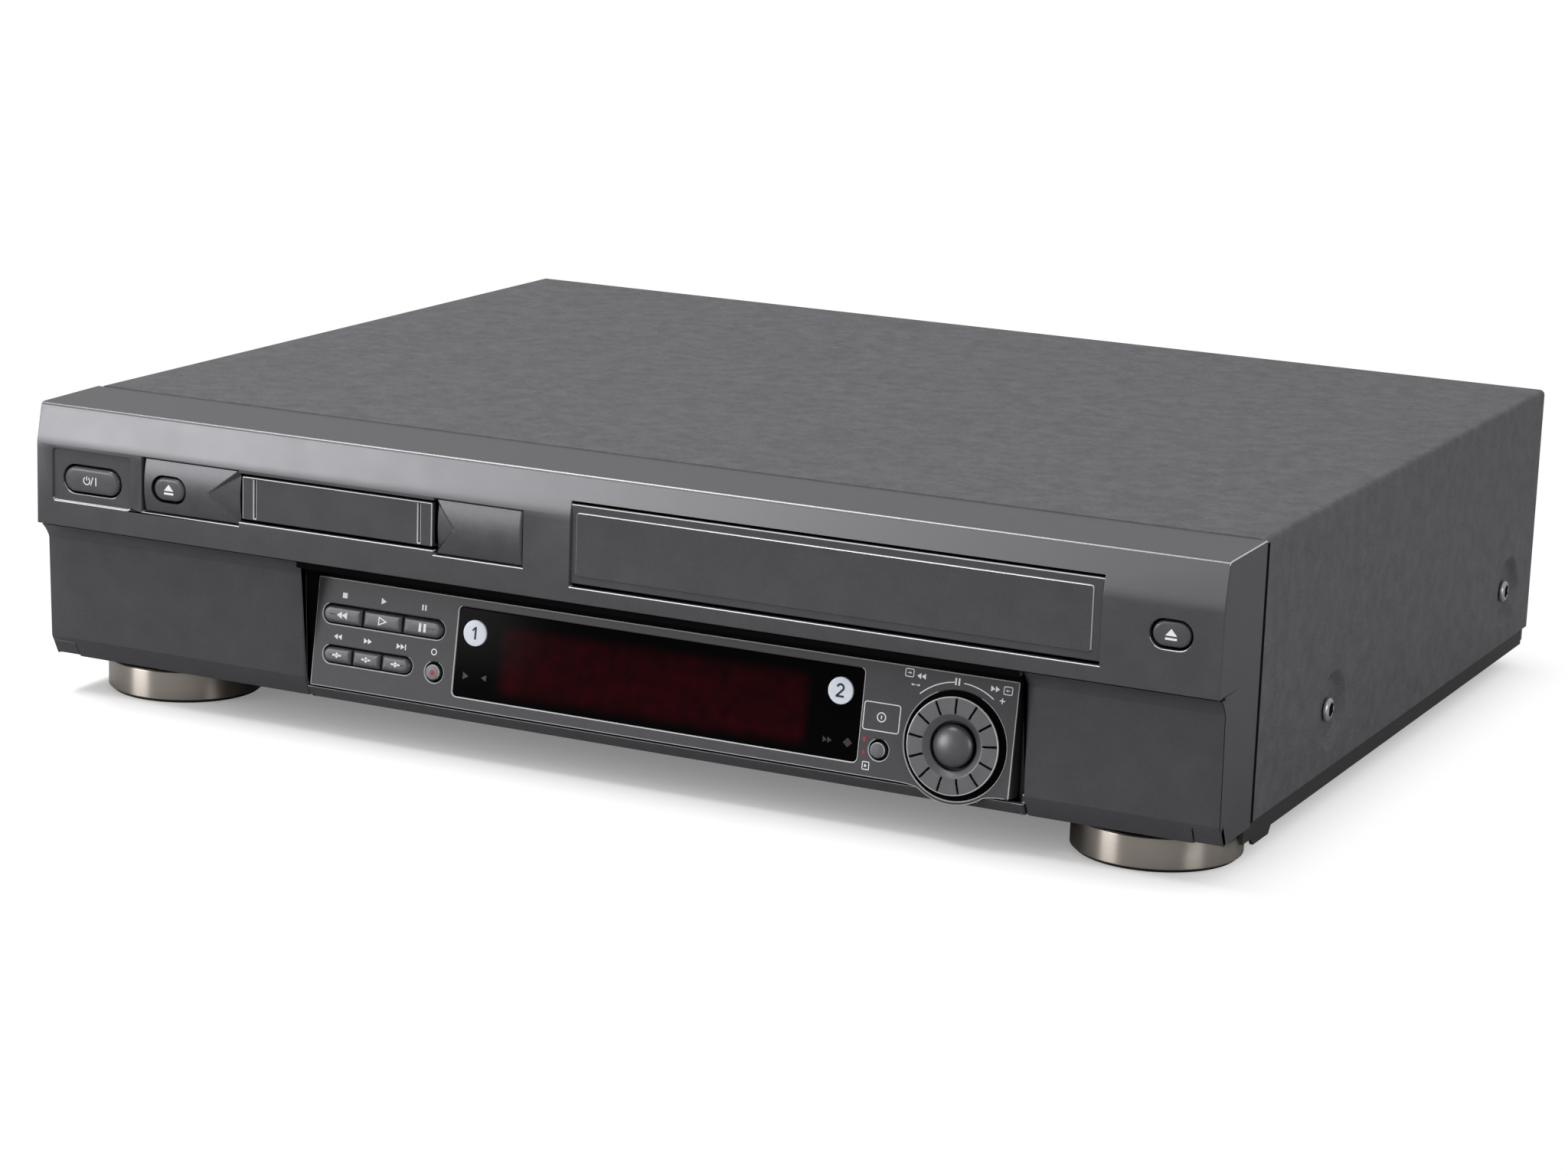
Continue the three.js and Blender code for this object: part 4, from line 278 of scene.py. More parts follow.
# The scoop plates have a darker batch of the flake lacquer.
plate_lacquer = grained(
    "dark flake lacquer", "#5f5f62", "#69696c", 0.36, 0.6, 0.005, 7.0, Metallic=0.85
)
# The jog dial and the caps of the round keys are the smoothest: a soft gloss with a wide highlight.
dome_lacquer = grained(
    "polished lacquer", "#6e6e71", "#757578", 0.38, 0.6, 0.002, 5.0, Metallic=0.85
)
# Black ABS behind the front takes most of the light away.
black_abs = grained("black moulded ABS", "#0c0c0d", "#121214", 0.5, 0.8, 0.006)
# Rubber of the feet's bases: matt, with a dusty bloom.
rubber = grained("moulded rubber", "#0f0f10", "#19191a", 0.8, 0.9, 0.03)
# White acetal of gears and reels: waxy, slightly translucent to the eye, so its tone is even.
acetal = grained("white acetal", "#d4d3cc", "#dddcd6", 0.35, 1.5, 0.004)
# Plain black stands for the shade in gaps, grooves and sockets: painted shade.
painted_shade_black = grained("black for painted shade", "#040404", "#070707", 0.95, 0.7, 0.03, Specular_IOR_Level=0.1)
print("11 moulded and painted finishes")

# %% [markdown]
# ## Flake lacquer on the front
# The sloping top of the front carries a lacquer full of aluminium flake, which is sprayed from
# above and fades out below the knee. It mirrors the room broadly, so it is pale where it faces a
# lamp. Height and the distance from the middle say where it lies, because the ends of the front
# have only the paint.

# %% Flake
knee_height = 95.3
fade_below, fade_above = 2.5, 3.0
lacquer_half = 227.3
front_paint = grained("satin paint under flake lacquer", *graphite, 0.012, 9.0, **sheen)
front_tree = front_paint.node_tree
front_shader = front_tree.nodes["Principled BSDF"]
front_place = add(front_tree, "TexCoord").outputs["Object"]
sideways, _, height = add(front_tree, "SeparateXYZ", {0: front_place}).outputs
knee = {0: height, 1: (knee_height - fade_below) * mm, 2: (knee_height + fade_above) * mm}
sprayed = add(front_tree, "MapRange", knee, interpolation_type="SMOOTHSTEP").outputs[0]
off_middle = add(front_tree, "Math", {0: sideways}, operation="ABSOLUTE").outputs[0]
ends_at = {0: off_middle, 1: lacquer_half * mm}
on_front = add(front_tree, "Math", ends_at, operation="LESS_THAN").outputs[0]
flake = add(front_tree, "Math", {0: sprayed, 1: on_front}, operation="MULTIPLY").outputs[0]
under = front_shader.inputs["Base Color"].links[0].from_socket
tint = {0: flake, 6: under, 7: linear("#7b7b7e")}
flaked = add(front_tree, "Mix", tint, data_type="RGBA").outputs[2]
shine = add(front_tree, "Math", {0: flake, 1: 0.85}, operation="MULTIPLY").outputs[0]
plug(front_tree, front_shader, {"Base Color": flaked, "Metallic": shine})
print("the lacquer fades out at", knee_height, "mm")

# %% [markdown]
# ## Metals
# A metal takes its tone from what it mirrors, so its own colour is only a tint and its texture does
# the rest. The feet are turned and brushed round, so their fine lines run along the rim: noise that
# is stretched around the ring would need its own map, but rings stacked in height give the same
# lines. Sheet steel shows the spangle of its zinc bath, and the drum shows the fine rings of its
# lathe.


# %% Metals
def ringed(name, low, high, roughness, pitch, depth, anisotropy):
    """Rings stacked in height: noise of a pitch in mm along Z only, as colour, gloss and bump."""
    brushed = {"Anisotropic": anisotropy, "Anisotropic_Rotation": 0.25}
    made = finish(name, low, roughness, Metallic=1.0, **brushed)
    _, tree, shader, place = made
    along = add(tree, "Tangent", direction_type="RADIAL", axis="Z").outputs[0]
    plug(tree, shader, {"Tangent": along})
    squeeze = {"Vector": place, "Scale": (12.0, 12.0, cells(pitch))}
    squeezed = add(tree, "Mapping", squeeze).outputs[0]
    lines = {"Vector": squeezed, "Scale": 1.0, "Detail": 4.0}
    lines = add(tree, "TexNoise", lines).outputs["Fac"]
    return textured(made, low, high, roughness, lines, lines, 0.05, (0.3, 0.7), lines, depth)


def spangled(name, low, high, roughness, size):
    """Flat crystals of size mm from a Voronoi texture, each with its own tone and gloss."""
    made = finish(name, low, roughness, Metallic=1.0)
    _, tree, _, place = made
    crystal = add(tree, "TexVoronoi", {"Vector": place, "Scale": cells(size)})
    tone = add(tree, "SeparateColor", {0: crystal.outputs["Color"]}).outputs[0]
    return textured(made, low, high, roughness, tone, tone, 0.06, (0.0, 1.0))


# Nickel on turned steel, brushed round: warm grey, with a long soft highlight up the rim.
brushed_nickel = ringed("brushed nickel", "#c6bdb4", "#d5ccc3", 0.36, 0.35, 0.001, 0.95)
# Machined aluminium of the drum: pale, with closer rings.
machined_aluminium = ringed("machined aluminium", "#b9babd", "#cfd0d2", 0.22, 0.25, 0.003, 0.3)
# Zinc-plated sheet steel: crystals of zinc, each turned its own way, give it a patchy grey.
zinc_steel = spangled("zinc-plated steel", "#a0a3a6", "#b0b3b6", 0.5, 4.0)
# The screws are nickel-plated steel; the black on the floor of each socket is painted shade.
screw_steel = spangled("nickel-plated steel", "#cfcfd1", "#dededf", 0.25, 1.2)
print("4 metals")

# %% [markdown]
# ## Circuit board
# A board is green lacquer over copper. The copper's tracks lie under the lacquer as slightly paler
# lines, which a brick pattern gives in a few nodes, and the lacquer itself is glossy.

# %% Circuit board
track_length = 9.0
track_pitch = 2.2
track_width = 0.3
circuit_board, board_tree, board_shader, board_place = finish(
    "lacquered circuit board", "#1d4a2c", 0.3
)
greens = {"Color1": linear("#1b4429"), "Color2": linear("#235535"), "Mortar": linear("#3a7a4a")}
bricks = {"Brick Width": track_length * mm, "Row Height": track_pitch * mm}
tracks = {"Vector": board_place, "Scale": 1.0, "Mortar Size": track_width * mm, **greens, **bricks}
tracks = add(board_tree, "TexBrick", tracks).outputs["Color"]
plug(board_tree, board_shader, {"Base Color": tracks})
print("board tracks every", track_pitch, "mm")

# %% [markdown]
# ## Smoked window
# The display sits behind smoked acrylic. Switched off, the acrylic looks black and glossy, and the
# tube's red filter just shows through it. The glass-like sheet could be modelled with real
# transmission, but almost nothing behind it would be seen, so it is an opaque gloss black with a
# dim red field. The field's place is measured in the panel's drawing, by turning object coordinates
# back into it.

# %% Smoked window
tube = (-39.0, 78.0, 8.0, 30.5)
fade = 6.0
smoked_acrylic, window_tree, window_shader, window_place = finish(
    "smoked acrylic", "#060506", 0.08, IOR=1.49, Specular_IOR_Level=0.03
)
lean = {"Location": PANEL.to_translation(), "Rotation": PANEL.to_euler(), "Scale": (mm, mm, mm)}
lean = add(window_tree, "Mapping", {"Vector": window_place, **lean}, vector_type="TEXTURE")
on_panel = lean.outputs[0]
across, _, upward = add(window_tree, "SeparateXYZ", {0: on_panel}).outputs


def band(value, low, high):
    """1 between low and high, with a smooth edge of the fade's width on both sides."""
    ends = []
    for middle, start, end in ((low, 0.0, 1.0), (high, 1.0, 0.0)):
        span = {0: value, 1: middle - fade / 2, 2: middle + fade / 2, 3: start, 4: end}
        ends.append(add(window_tree, "MapRange", span, interpolation_type="SMOOTHSTEP").outputs[0])
    return add(window_tree, "Math", dict(enumerate(ends)), operation="MULTIPLY").outputs[0]


edges = {0: band(across, *tube[:2]), 1: band(upward, *tube[2:])}
field = add(window_tree, "Math", edges, operation="MULTIPLY").outputs[0]
blotch = {"Vector": on_panel, "Scale": 0.16, "Detail": 2.0}
blotch = add(window_tree, "TexNoise", blotch).outputs["Fac"]
glow = add(window_tree, "Math", {0: field, 1: blotch}, operation="MULTIPLY").outputs[0]
reds = {0: glow, 6: linear("#050405"), 7: linear("#33070d")}
window_colour = add(window_tree, "Mix", reds, data_type="RGBA").outputs[2]
plug(window_tree, window_shader, {"Base Color": window_colour})
print("the red field lies at", tube)

# %% [markdown]
# ## Lamps and printing
# Two round keys in the window are milky acrylic that is lit from behind when a deck is chosen.
# Switched off they look like pale enamel. The printing on the front is screen ink, a film of a few
# hundredths of a millimetre. Each ink has a very fine grain from the screen's mesh.

# %% Lamps and inks
milky_acrylic = grained("milky acrylic", "#dee6f0", "#e8eef7", 0.22, 2.0, 0.001, 8.0)
white_ink = grained("white screen ink", "#eeeeef", "#f4f4f5", 0.5, 0.4, 0.001)
dark_ink = grained("dark screen ink", "#1b2430", "#222b38", 0.5, 0.4, 0.001)
red_ink = grained("red screen ink", "#a01c22", "#b3262c", 0.45, 0.4, 0.001)
dim_ink = grained("unlit display segment", "#232324", "#2b2b2c", 0.3, 0.4, 0.001)

# %% [markdown]
# ## Small tools for shapes
# Most pieces here are stacks of rings: an outline at one depth, the next one a little further out
# or in, and so on to the front. Rings with the same number of points join into quads without any
# search, so the whole mesh is one array. Keys, buttons, doors, domes, rings and feet are all made
# this way. The outlines are rectangles with four arcs, whose radii may differ from corner to
# corner.

# %% Outlines
corner_steps = 8
least_radius = 0.02


def outline(left, right, bottom, top, radii, inset=0.0):
    """Four quarter circles, from the lower left corner round: each centre lies a radius inside both
    sides, and an inset moves the sides in and takes as much off the radii."""
    rounds = np.maximum(np.broadcast_to(radii, 4) - inset, least_radius)
    corners = np.array([[left, bottom], [right, bottom], [right, top], [left, top]], float)
    inward = np.array([[1, 1], [-1, 1], [-1, -1], [1, -1]])
    centres = corners + inward * (inset + rounds)[:, None]
    start = np.array([math.pi, 1.5 * math.pi, 0.0, 0.5 * math.pi])
    turn = start[:, None] + np.linspace(0, math.pi / 2, corner_steps + 1)
    arcs = np.stack([np.cos(turn), np.sin(turn)], axis=-1) * rounds[:, None, None]
    return (centres[:, None] + arcs).reshape(-1, 2)


def stacked(outlines, depths):
    """Rings in a drawing: an outline's first number is X and its second is Z. Y is the depth."""
    pairs = zip(outlines, depths)
    return np.stack([np.column_stack([o[:, 0], np.full(len(o), d), o[:, 1]]) for o, d in pairs])


def slab(shape, back, face, edge, first):
    """A plate whose edge turns over in two steps. The shape gives the outline at an inset."""
    depths = (back, face + edge, face + first, face)
    return stacked([shape(inset) for inset in (0.0, 0.0, first, edge)], depths)


def ring_at(x, section):
    """A ring square to X, from a section of depths and heights. X may also differ from point to
    point."""
    return np.column_stack([np.broadcast_to(x, len(section)), section])


def turned(profile, centre, axis="y", around=64):
    """Rings of a lathe: a point (r, d) of the profile becomes the circle r (cos t, sin t) at the
    distance d along the axis. The radius may also be an array over t."""
    t = np.linspace(0, 2 * math.pi, around, endpoint=False)
    rings = []
    for radius, along in profile:
        u, v, w = radius * np.cos(t), radius * np.sin(t), np.full(around, along)
        rings.append({"x": [w, u, v], "y": [u, w, v], "z": [u, v, w]}[axis])
    return np.array(rings).transpose(0, 2, 1) + np.array(centre)


def curve(a, b, c, t):
    """The quadratic curve (1-t)^2 a + 2t(1-t) b + t^2 c, which leaves a towards b and ends at c."""
    return (1 - t) ** 2 * a + 2 * t * (1 - t) * b + t**2 * c


def softened(profile, radii, steps=4):
    """Each inner corner of a profile becomes a curve that starts and ends its radius away."""
    profile = np.array(profile, float)
    t = np.linspace(0, 1, steps + 1)[:, None]
    points = [profile[:1]]
    for before, corner, after, radius in zip(profile, profile[1:], profile[2:], radii):
        a = corner + (before - corner) * min(1, radius / np.linalg.norm(before - corner))
        c = corner + (after - corner) * min(1, radius / np.linalg.norm(after - corner))
        points.append(curve(a, corner, c, t))
    return np.concatenate([*points, profile[-1:]])


print("an outline has", 4 * (corner_steps + 1), "points")

# %% [markdown]
# ## From arrays to pieces
# One function turns a stack of rings into a closed mesh, and one gives a mesh its place, its finish
# and its body. A shell must be closed with its faces outwards, so doubles are merged and the
# normals are computed again. Smooth shading that breaks at sharp edges keeps flat faces flat. A
# piece that takes a solid's place rides on that solid's body.


# %% Pieces
def lofted(rings, closed=False, capped=True):
    """Quads between neighbouring rings. A closed stack joins its last ring to its first. An open
    one gets its two end rings filled, unless it isn't to be capped."""
    count, around = rings.shape[:2]
    index = np.arange(count * around).reshape(count, around)
    if closed:
        index = np.concatenate([index, index[:1]])
    ahead = np.roll(index, -1, axis=1)
    quads = np.stack([index[:-1], ahead[:-1], ahead[1:], index[1:]], axis=-1)
    faces = quads.reshape(-1, 4).tolist()
    if capped and not closed:
        faces += [index[0].tolist(), index[-1].tolist()]
    return rings.reshape(-1, 3), faces


def prism(shape, depths):
    """One outline, pushed from one depth to another."""
    return lofted(stacked([shape] * 2, depths))


def joined(parts):
    """Several meshes as one: each one's face numbers are shifted past the points before it."""
    shifts = np.cumsum([0] + [len(points) for points, _ in parts])
    faces = [[i + shift for i in face] for (_, part), shift in zip(parts, shifts) for face in part]
    return np.concatenate([points for points, _ in parts]), faces


def welded(mesh, outwards=True):
    """Merges a mesh's doubles and turns its faces outwards."""
    shell = bmesh.new()
    shell.from_mesh(mesh)
    bmesh.ops.remove_doubles(shell, verts=shell.verts, dist=0.001 * mm)
    if outwards:
        bmesh.ops.recalc_face_normals(shell, faces=shell.faces)
    shell.to_mesh(mesh)
    shell.free()


def meshed(name, shape, drawing):
    """A welded mesh in a drawing, from points and faces or from a stack of rings."""
    points, faces = lofted(shape) if isinstance(shape, np.ndarray) else shape
    mesh = bpy.data.meshes.new(name)
    mesh.from_pydata(placed(points, drawing).tolist(), [], faces)
    welded(mesh)
    return mesh


def smoothed(mesh, sharp):
    """Smooth shading that breaks at edges above an angle in degrees."""
    mesh.shade_smooth()
    mesh.set_sharp_from_angle(angle=math.radians(sharp))


def dress(made, material, node=None, body=None):
    """Links an object, with its finish. It takes a node's place or rides on a body."""
    bpy.context.scene.collection.objects.link(made)
    made.data.materials.clear()
    made.data.materials.append(material)
    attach(made, nodes[node]["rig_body"] if node else body or root)
    if node:
        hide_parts(node)
    return made


def piece(name, shape, drawing, material, node=None, body=None, sharp=35):
    """A closed mesh with smooth shading, dressed and hung on its body."""
    mesh = meshed(name, shape, drawing)
    smoothed(mesh, sharp)
    return dress(bpy.data.objects.new(name, mesh), material, node, body)


def baked(made):
    """Turns what an object's modifiers make of its mesh into its mesh."""
    graph = bpy.context.evaluated_depsgraph_get()
    result = bpy.data.meshes.new_from_object(made.evaluated_get(graph))
    made.modifiers.clear()
    made.data = result


def holed(plate, cutters, drawing, sharp=20):
    """Cuts closed shapes out of a plate with a Boolean modifier."""
    cutter = bpy.data.objects.new("cutter", meshed("cutter", joined(cutters), drawing))
    bpy.context.scene.collection.objects.link(cutter)
    cut = plate.modifiers.new("holes", "BOOLEAN")
    cut.object = cutter
    cut.solver = "EXACT"
    baked(plate)
    plate.data.set_sharp_from_angle(angle=math.radians(sharp))
    bpy.data.meshes.remove(cutter.data)


lip = 0.42
lip_insets = np.array([0, 0, -0.3, -1.07, -1.07]) * lip
lip_depths = np.array([1.0, 0.3, -0.07, -3.0]) * lip


def pill_cutter(box, radii, back, face=0.0):
    """A hole's shape with its lip: the outline grows by the lip over the last part of the depth."""
    outlines = [outline(*box, radii, inset) for inset in lip_insets]
    return lofted(stacked(outlines, [back, *(face + lip_depths)]))


def round_cutter(x, z, radius, back):
    """The same for a round hole."""
    return lofted(turned(zip(radius - lip_insets, [back, *lip_depths]), (x, 0, z), around=72))


def paint_edge_highlights(made, drawing, steep=0.25, flat=0.975):
    """Faces turned partly away from the front, by two cosines, and not down get a painted
    highlight.
    """
    forward = np.array(drawing)[:3, 1]
    forward = Vector(-forward / np.linalg.norm(forward))
    made.data.materials.append(edge_highlight_paint)
    for face in made.data.polygons:
        if steep < face.normal.dot(forward) < flat and face.normal.z > -0.25:
            face.material_index = len(made.data.materials) - 1


print("a hole's lip is", lip, "mm wide")

# %% [markdown]
# ## Rounded copies of the frame's solids
# The front and the rear panel already have the right shape in the frame, but with knife edges. Real
# mouldings and folded sheets have edges of a few tenths of a millimetre. So each is copied, its
# triangles are welded, and a Bevel modifier rounds every edge that is sharper than the curves' own
# facets. The rounds that face up get a pale paint, a painted highlight that draws the thin bright
# lines along the edges. Two narrow returns close the sides of the rear panel.


# %% Rounded copies
def rounded(node, material, width, angle=24.0, least_rise=0.3):
    """A welded copy of a node. Edges above an angle get a round of a width in mm, and the rounds
    that face up get the pale paint as a painted highlight."""
    made = bpy.data.objects.new(node + "_shell", nodes[node].data.copy())
    welded(made.data, outwards=False)
    smoothed(made.data, angle)
    bevel = made.modifiers.new("rounded edges", "BEVEL")
    bevel.width = width * mm
    bevel.segments = 2
    bevel.limit_method = "ANGLE"
    bevel.angle_limit = math.radians(angle)
    bevel.use_clamp_overlap = False
    bevel.material = 1
    made.modifiers.new("even shading", "WEIGHTED_NORMAL").weight = 100
    dress(made, material, node)
    made.data.materials.append(edge_highlight_paint)
    baked(made)
    for face in made.data.polygons:
        if face.normal.z < least_rise:
            face.material_index = 0


rounded("front_fascia", front_paint, 0.3)
rounded("rear_panel", zinc_steel, 0.15)
rear_low, rear_high = seen("rear_panel", FRONT)
for side, sign in (("left", -1), ("right", 1)):
    shape = outline(*sorted((sign * 220.6, sign * 225.3)), rear_low[2], rear_high[2], 0.2)
    strip = prism(shape, (rear_low[1] - 1.2, rear_low[1] + 0.6))
    piece(f"{side}_rear_return", strip, FRONT, zinc_steel)
print("2 rounded copies and 2 returns")

# %% [markdown]
# ## Flap doors
# A flap is a section that is drawn once and pushed along X. Its face has three parts: a hollow
# curve under the step, the long face, and a bevel at the foot. Its outer end is cut at 45 degrees,
# because its seam lies in the corner of the front, and a strip on the case fills the rest of the
# corner. The inner end is rounded more strongly than the other edges. Below the hinge's line the
# outer end is drawn in round the case's hinge lug, so that the flap can turn.

# %% Flap doors
flap_skin = 2.2
mitre_gap = 0.12
knee = 21.5
half_front = seen("front_fascia", FRONT)[1][0]
flap_low, flap_high = seen("right_flap_door", FRONT)
flap_top, flap_bottom = flap_high[2], flap_low[2]
cove_ends = np.array([[2.6, flap_top], [5.2, flap_top - 2.0], [6.8, flap_top - 5.4]])
cove = curve(*cove_ends, np.linspace(0, 1, 9)[:, None])
skin_back = [[14.1, flap_bottom], [10.3, 21.9], [9.0, flap_top - 5.4], [4.8, flap_top]]
corners = np.concatenate([cove, [[8.1, knee], [11.9, flap_bottom]], skin_back])
edge_rounds = [0.15] * 9 + [0.5, 0.4, 0.4, 0.1, 0.1, 0.3, 0.4]
flap_section = softened(np.concatenate([corners, corners[:2]]), edge_rounds, 3)[1:-1]
hinge = np.array([13.4, 18.4])
hinge_clearance = 4.8
hinge_start = 217.4


def shrunk(section, inset):
    """A closed line moved inwards, each point square to the line through its two neighbours."""
    ahead = np.roll(section, -1, axis=0) - np.roll(section, 1, axis=0)
    following = np.roll(section, -1, axis=0)
    area = np.sum(section[:, 0] * following[:, 1] - section[:, 1] * following[:, 0])
    inward = np.column_stack([-ahead[:, 1], ahead[:, 0]]) * np.sign(area)
    return section + inset * inward / np.maximum(np.linalg.norm(inward, axis=1), 1e-6)[:, None]


def face_depth(height):
    """Depth of the flap's face at a height, from the corners of its drawing."""
    return np.interp(height, corners[10::-1, 1], corners[10::-1, 0])


def mitred_end(section, side):
    """X of the outer end: further in by as much as a point lies behind the face."""
    behind = np.maximum(section[:, 0] - face_depth(section[:, 1]), 0)
    return side * (half_front - mitre_gap - behind)


def raised(section):
    """The section over the hinge lug: points near or below the hinge move to a circle round it."""
    away = section - hinge
    near = (away[:, 1] < 0) | (np.linalg.norm(away, axis=1) < hinge_clearance)
    turn = np.radians(np.linspace(161.8, 130.3, near.sum()))
    moved = section.copy()
    moved[near] = hinge + hinge_clearance * np.column_stack([np.cos(turn), np.sin(turn)])
    return moved


strip_heights = np.concatenate([[14.2], np.linspace(knee, flap_top, 40)])
strip_corners = ((mitre_gap, 0.0), (2.75, 0.0), (2.75, 2.4), (flap_skin + 0.2, flap_skin))
for side, sign in (("left", -1), ("right", 1)):
    node = f"{side}_flap_door"
    low, high = seen(node, FRONT, 5.0)
    inner_end = high[0] if sign < 0 else low[0]
    rings = [
        ring_at(inner_end + sign * along, shrunk(flap_section, inset))
        for along, inset in ((0.0, 0.9), (0.3, 0.4), (0.75, 0.1), (1.3, 0.0))
    ]
    for along, section in ((0.0, flap_section), (0.1, raised(flap_section))):
        rings.append(ring_at(sign * (hinge_start + along), section))
    for back_off, inset in ((0.3, 0.0), (0.08, 0.07), (0.0, 0.25)):
        section = raised(shrunk(flap_section, inset))
        rings.append(ring_at(mitred_end(section, sign) - sign * back_off, section))
    piece(node + "_skin", np.stack(rings), FRONT, painted_abs, node, sharp=30)
    strip = []
    for behind, from_side in strip_corners:
        line = np.column_stack([face_depth(strip_heights) + behind, strip_heights])
        strip.append(ring_at(sign * (half_front - from_side), line))
    piece(f"{side}_corner_strip", np.stack(strip, axis=1), FRONT, painted_abs)
print("2 flaps from x =", round(flap_low[0], 1), "to", round(flap_high[0], 1))

# %% [markdown]
# ## Scoop plates
# The plates beside the small door are slightly barrel-shaped, so they fade from light above to dark
# below. A scoop leads the finger in: three planes that meet in a point. With u from 0 at the point
# to 1 at the door, its depth is the smaller of 2 u and u h - |z|, where h is half the height.

# %% Scoop plates
barrel = 1.3
scoop_depth = 2.0
plate_depth = 2.8
grid_step = 0.3
eject_hole = (-177.6, -162.8, 79.3, 89.3)
for side, sign, reach in (("left", -1, 12.5), ("right", 1, 7.8)):
    node = f"{side}_scoop_plate"
    low, high = seen(node, FRONT, 0.5)
    outer, inner = (low[0], high[0]) if sign < 0 else (high[0], low[0])
    middle_z, half_z = (low[2] + high[2]) / 2, (high[2] - low[2]) / 2
    v = np.linspace(-1, 1, int(2 * half_z / grid_step) + 1)
    bulge = barrel * v**2
    edge = 0.35 * np.clip((np.abs(v) - 0.965) / 0.035, 0, 1) ** 2
    rings = []
    for share in np.linspace(0, 1, int((high[0] - low[0]) / grid_step) + 1):
        x = outer + (inner - outer) * share
        u = np.clip(1 - abs(x - inner) / reach, 0, 1)
        rounding = 0.9 * max(0, 1 - abs(x - outer) / 1.2) ** 2
        scoop = np.clip(np.minimum(scoop_depth * u, u * half_z - np.abs(v) * half_z), 0, None)
        depth = np.minimum(bulge + scoop + edge + rounding, plate_depth - 0.1)
        surface = np.column_stack([depth, middle_z + v * half_z])
        back = [[plate_depth, middle_z + half_z], [plate_depth, middle_z - half_z]]
        rings.append(ring_at(x, np.concatenate([surface, back])))
    plate = piece(f"{side}_scoop_face", np.stack(rings), FRONT, plate_lacquer, node, sharp=14)
    if side == "left":
        holed(plate, [prism(outline(*eject_hole, 4.9), (-2, 6))], FRONT, 14)
print("2 plates, barrelled by", barrel, "mm")

# %% [markdown]
# ## Small door
# The small door is a plain plate with two upright grooves near its ends.

# %% Small door
small = narrowed(face_of("small_cassette_door", FRONT, 2.0)[0], 0.2)
small_face = 0.8
groove_inset = 5.2
groove_half = 0.35
small_slab = slab(lambda inset: outline(*small, 0.3, inset), 3.0, small_face, 0.35, 0.1)
node = "small_cassette_door"
door_plate = piece("small_door_face", small_slab, FRONT, painted_abs, node, sharp=20)
grooves = []
for x in (small[0] + groove_inset, small[1] - groove_inset):
    sides = [x - groove_half, x + groove_half, small[2] + 0.8, small[3] - 0.8]
    grooves.append(pill_cutter(sides, 0.1, small_face + 0.9, small_face))
holed(door_plate, grooves, FRONT)
# The rounds that don't face down get the pale paint as a painted highlight.
paint_edge_highlights(door_plate, FRONT)
print("the small door is", np.round(small, 1))

# %% [markdown]
# ## Top cover
# The cover is one sheet, folded down over both sides, with two dimples pressed into each side so
# that the screws sit below the surface. It is a surface of two parameters: the distance along the
# folded profile, and the distance from front to back. The grid is closer where the folds and the
# dimples are. A second surface lies a sheet's thickness inside the first, and the two are joined
# round the edge.

# %% Top cover
cover_low, cover_high = seen("top_cover", FRONT)
half_cover, cover_top = cover_high[0], cover_high[2]
sheet = 1.0
fold = 2.0
dimple_rim = 14.0
dimple_floor = 10.3
dimple_depth = 2.45
dimple_height = 35.5
fine_step = 0.6
screw_rows = [sum(seen(f"right_{row}_cover_screw", FRONT))[1] / 2 for row in ("front", "rear")]


def close_near(start, end, centres, coarse):
    """Stations from start to end, a fine step apart near the dimples, and coarse elsewhere."""
    half = dimple_rim + 1
    stations = [np.arange(start, end, coarse), [end]]
    for centre in centres:
        stations.append(np.arange(max(start, centre - half), min(end, centre + half), fine_step))
    merged = np.unique(np.round(np.concatenate(stations), 3))
    kept = np.concatenate([[True], np.diff(merged) > 0.4 * fine_step])
    kept[-1] = True
    return merged[kept]


side_z = close_near(cover_low[2], cover_top - fold, [dimple_height], 8.0)
turn = np.linspace(0, math.pi / 2, 7)
fold_x = half_cover - fold + fold * np.cos(turn)
fold_z = cover_top - fold + fold * np.sin(turn)
flat_x = np.linspace(fold_x[-1], 0, 12)[1:]
half_x = np.concatenate([np.full(len(side_z) - 1, half_cover), fold_x, flat_x])
half_z = np.concatenate([side_z[:-1], fold_z, np.full(len(flat_x), cover_top)])
profile_x = np.concatenate([-half_x, half_x[-2::-1]])
profile_z = np.concatenate([half_z, half_z[-2::-1]])
stations_y = close_near(cover_low[1], cover_high[1], screw_rows, 14.0)
unsunk_x, grid_y = np.meshgrid(profile_x, stations_y)
grid_z = np.meshgrid(profile_z, stations_y)[0]
on_top = np.abs(unsunk_x[0]) < half_cover - fold
grid_y[0] = np.where(on_top, cover_low[1] - 0.4, cover_low[1])
sunk = np.zeros_like(unsunk_x)
for row in screw_rows:
    reach = np.hypot(grid_y - row, grid_z - dimple_height)
    slope = np.clip((dimple_rim - reach) / (dimple_rim - dimple_floor), 0, 1)
    eased = 0.8 * slope + 0.2 * slope**2 * (3 - 2 * slope)
    sunk += np.where(np.abs(unsunk_x) > half_cover - 0.001, eased, 0)
grid_x = unsunk_x - np.sign(unsunk_x) * sunk * dimple_depth
way = np.sign(grid_x)
beside = np.abs(unsunk_x) > half_cover - fold
on_fold = beside & (grid_z > cover_top - fold)
fold_in = (fold - sheet) / fold
turned_x = half_cover - fold + fold_in * (np.abs(unsunk_x) - half_cover + fold)
turned_z = cover_top - fold + fold_in * (grid_z - cover_top + fold)
inner_x = np.where(on_fold, way * turned_x, np.where(beside, grid_x - way * sheet, grid_x))
inner_z = np.where(on_fold, turned_z, np.minimum(grid_z, cover_top - sheet))
outside = np.stack([grid_x, grid_y, grid_z], axis=-1)
inside = np.stack([inner_x, grid_y, inner_z], axis=-1)[:, ::-1]
rows, columns = grid_x.shape
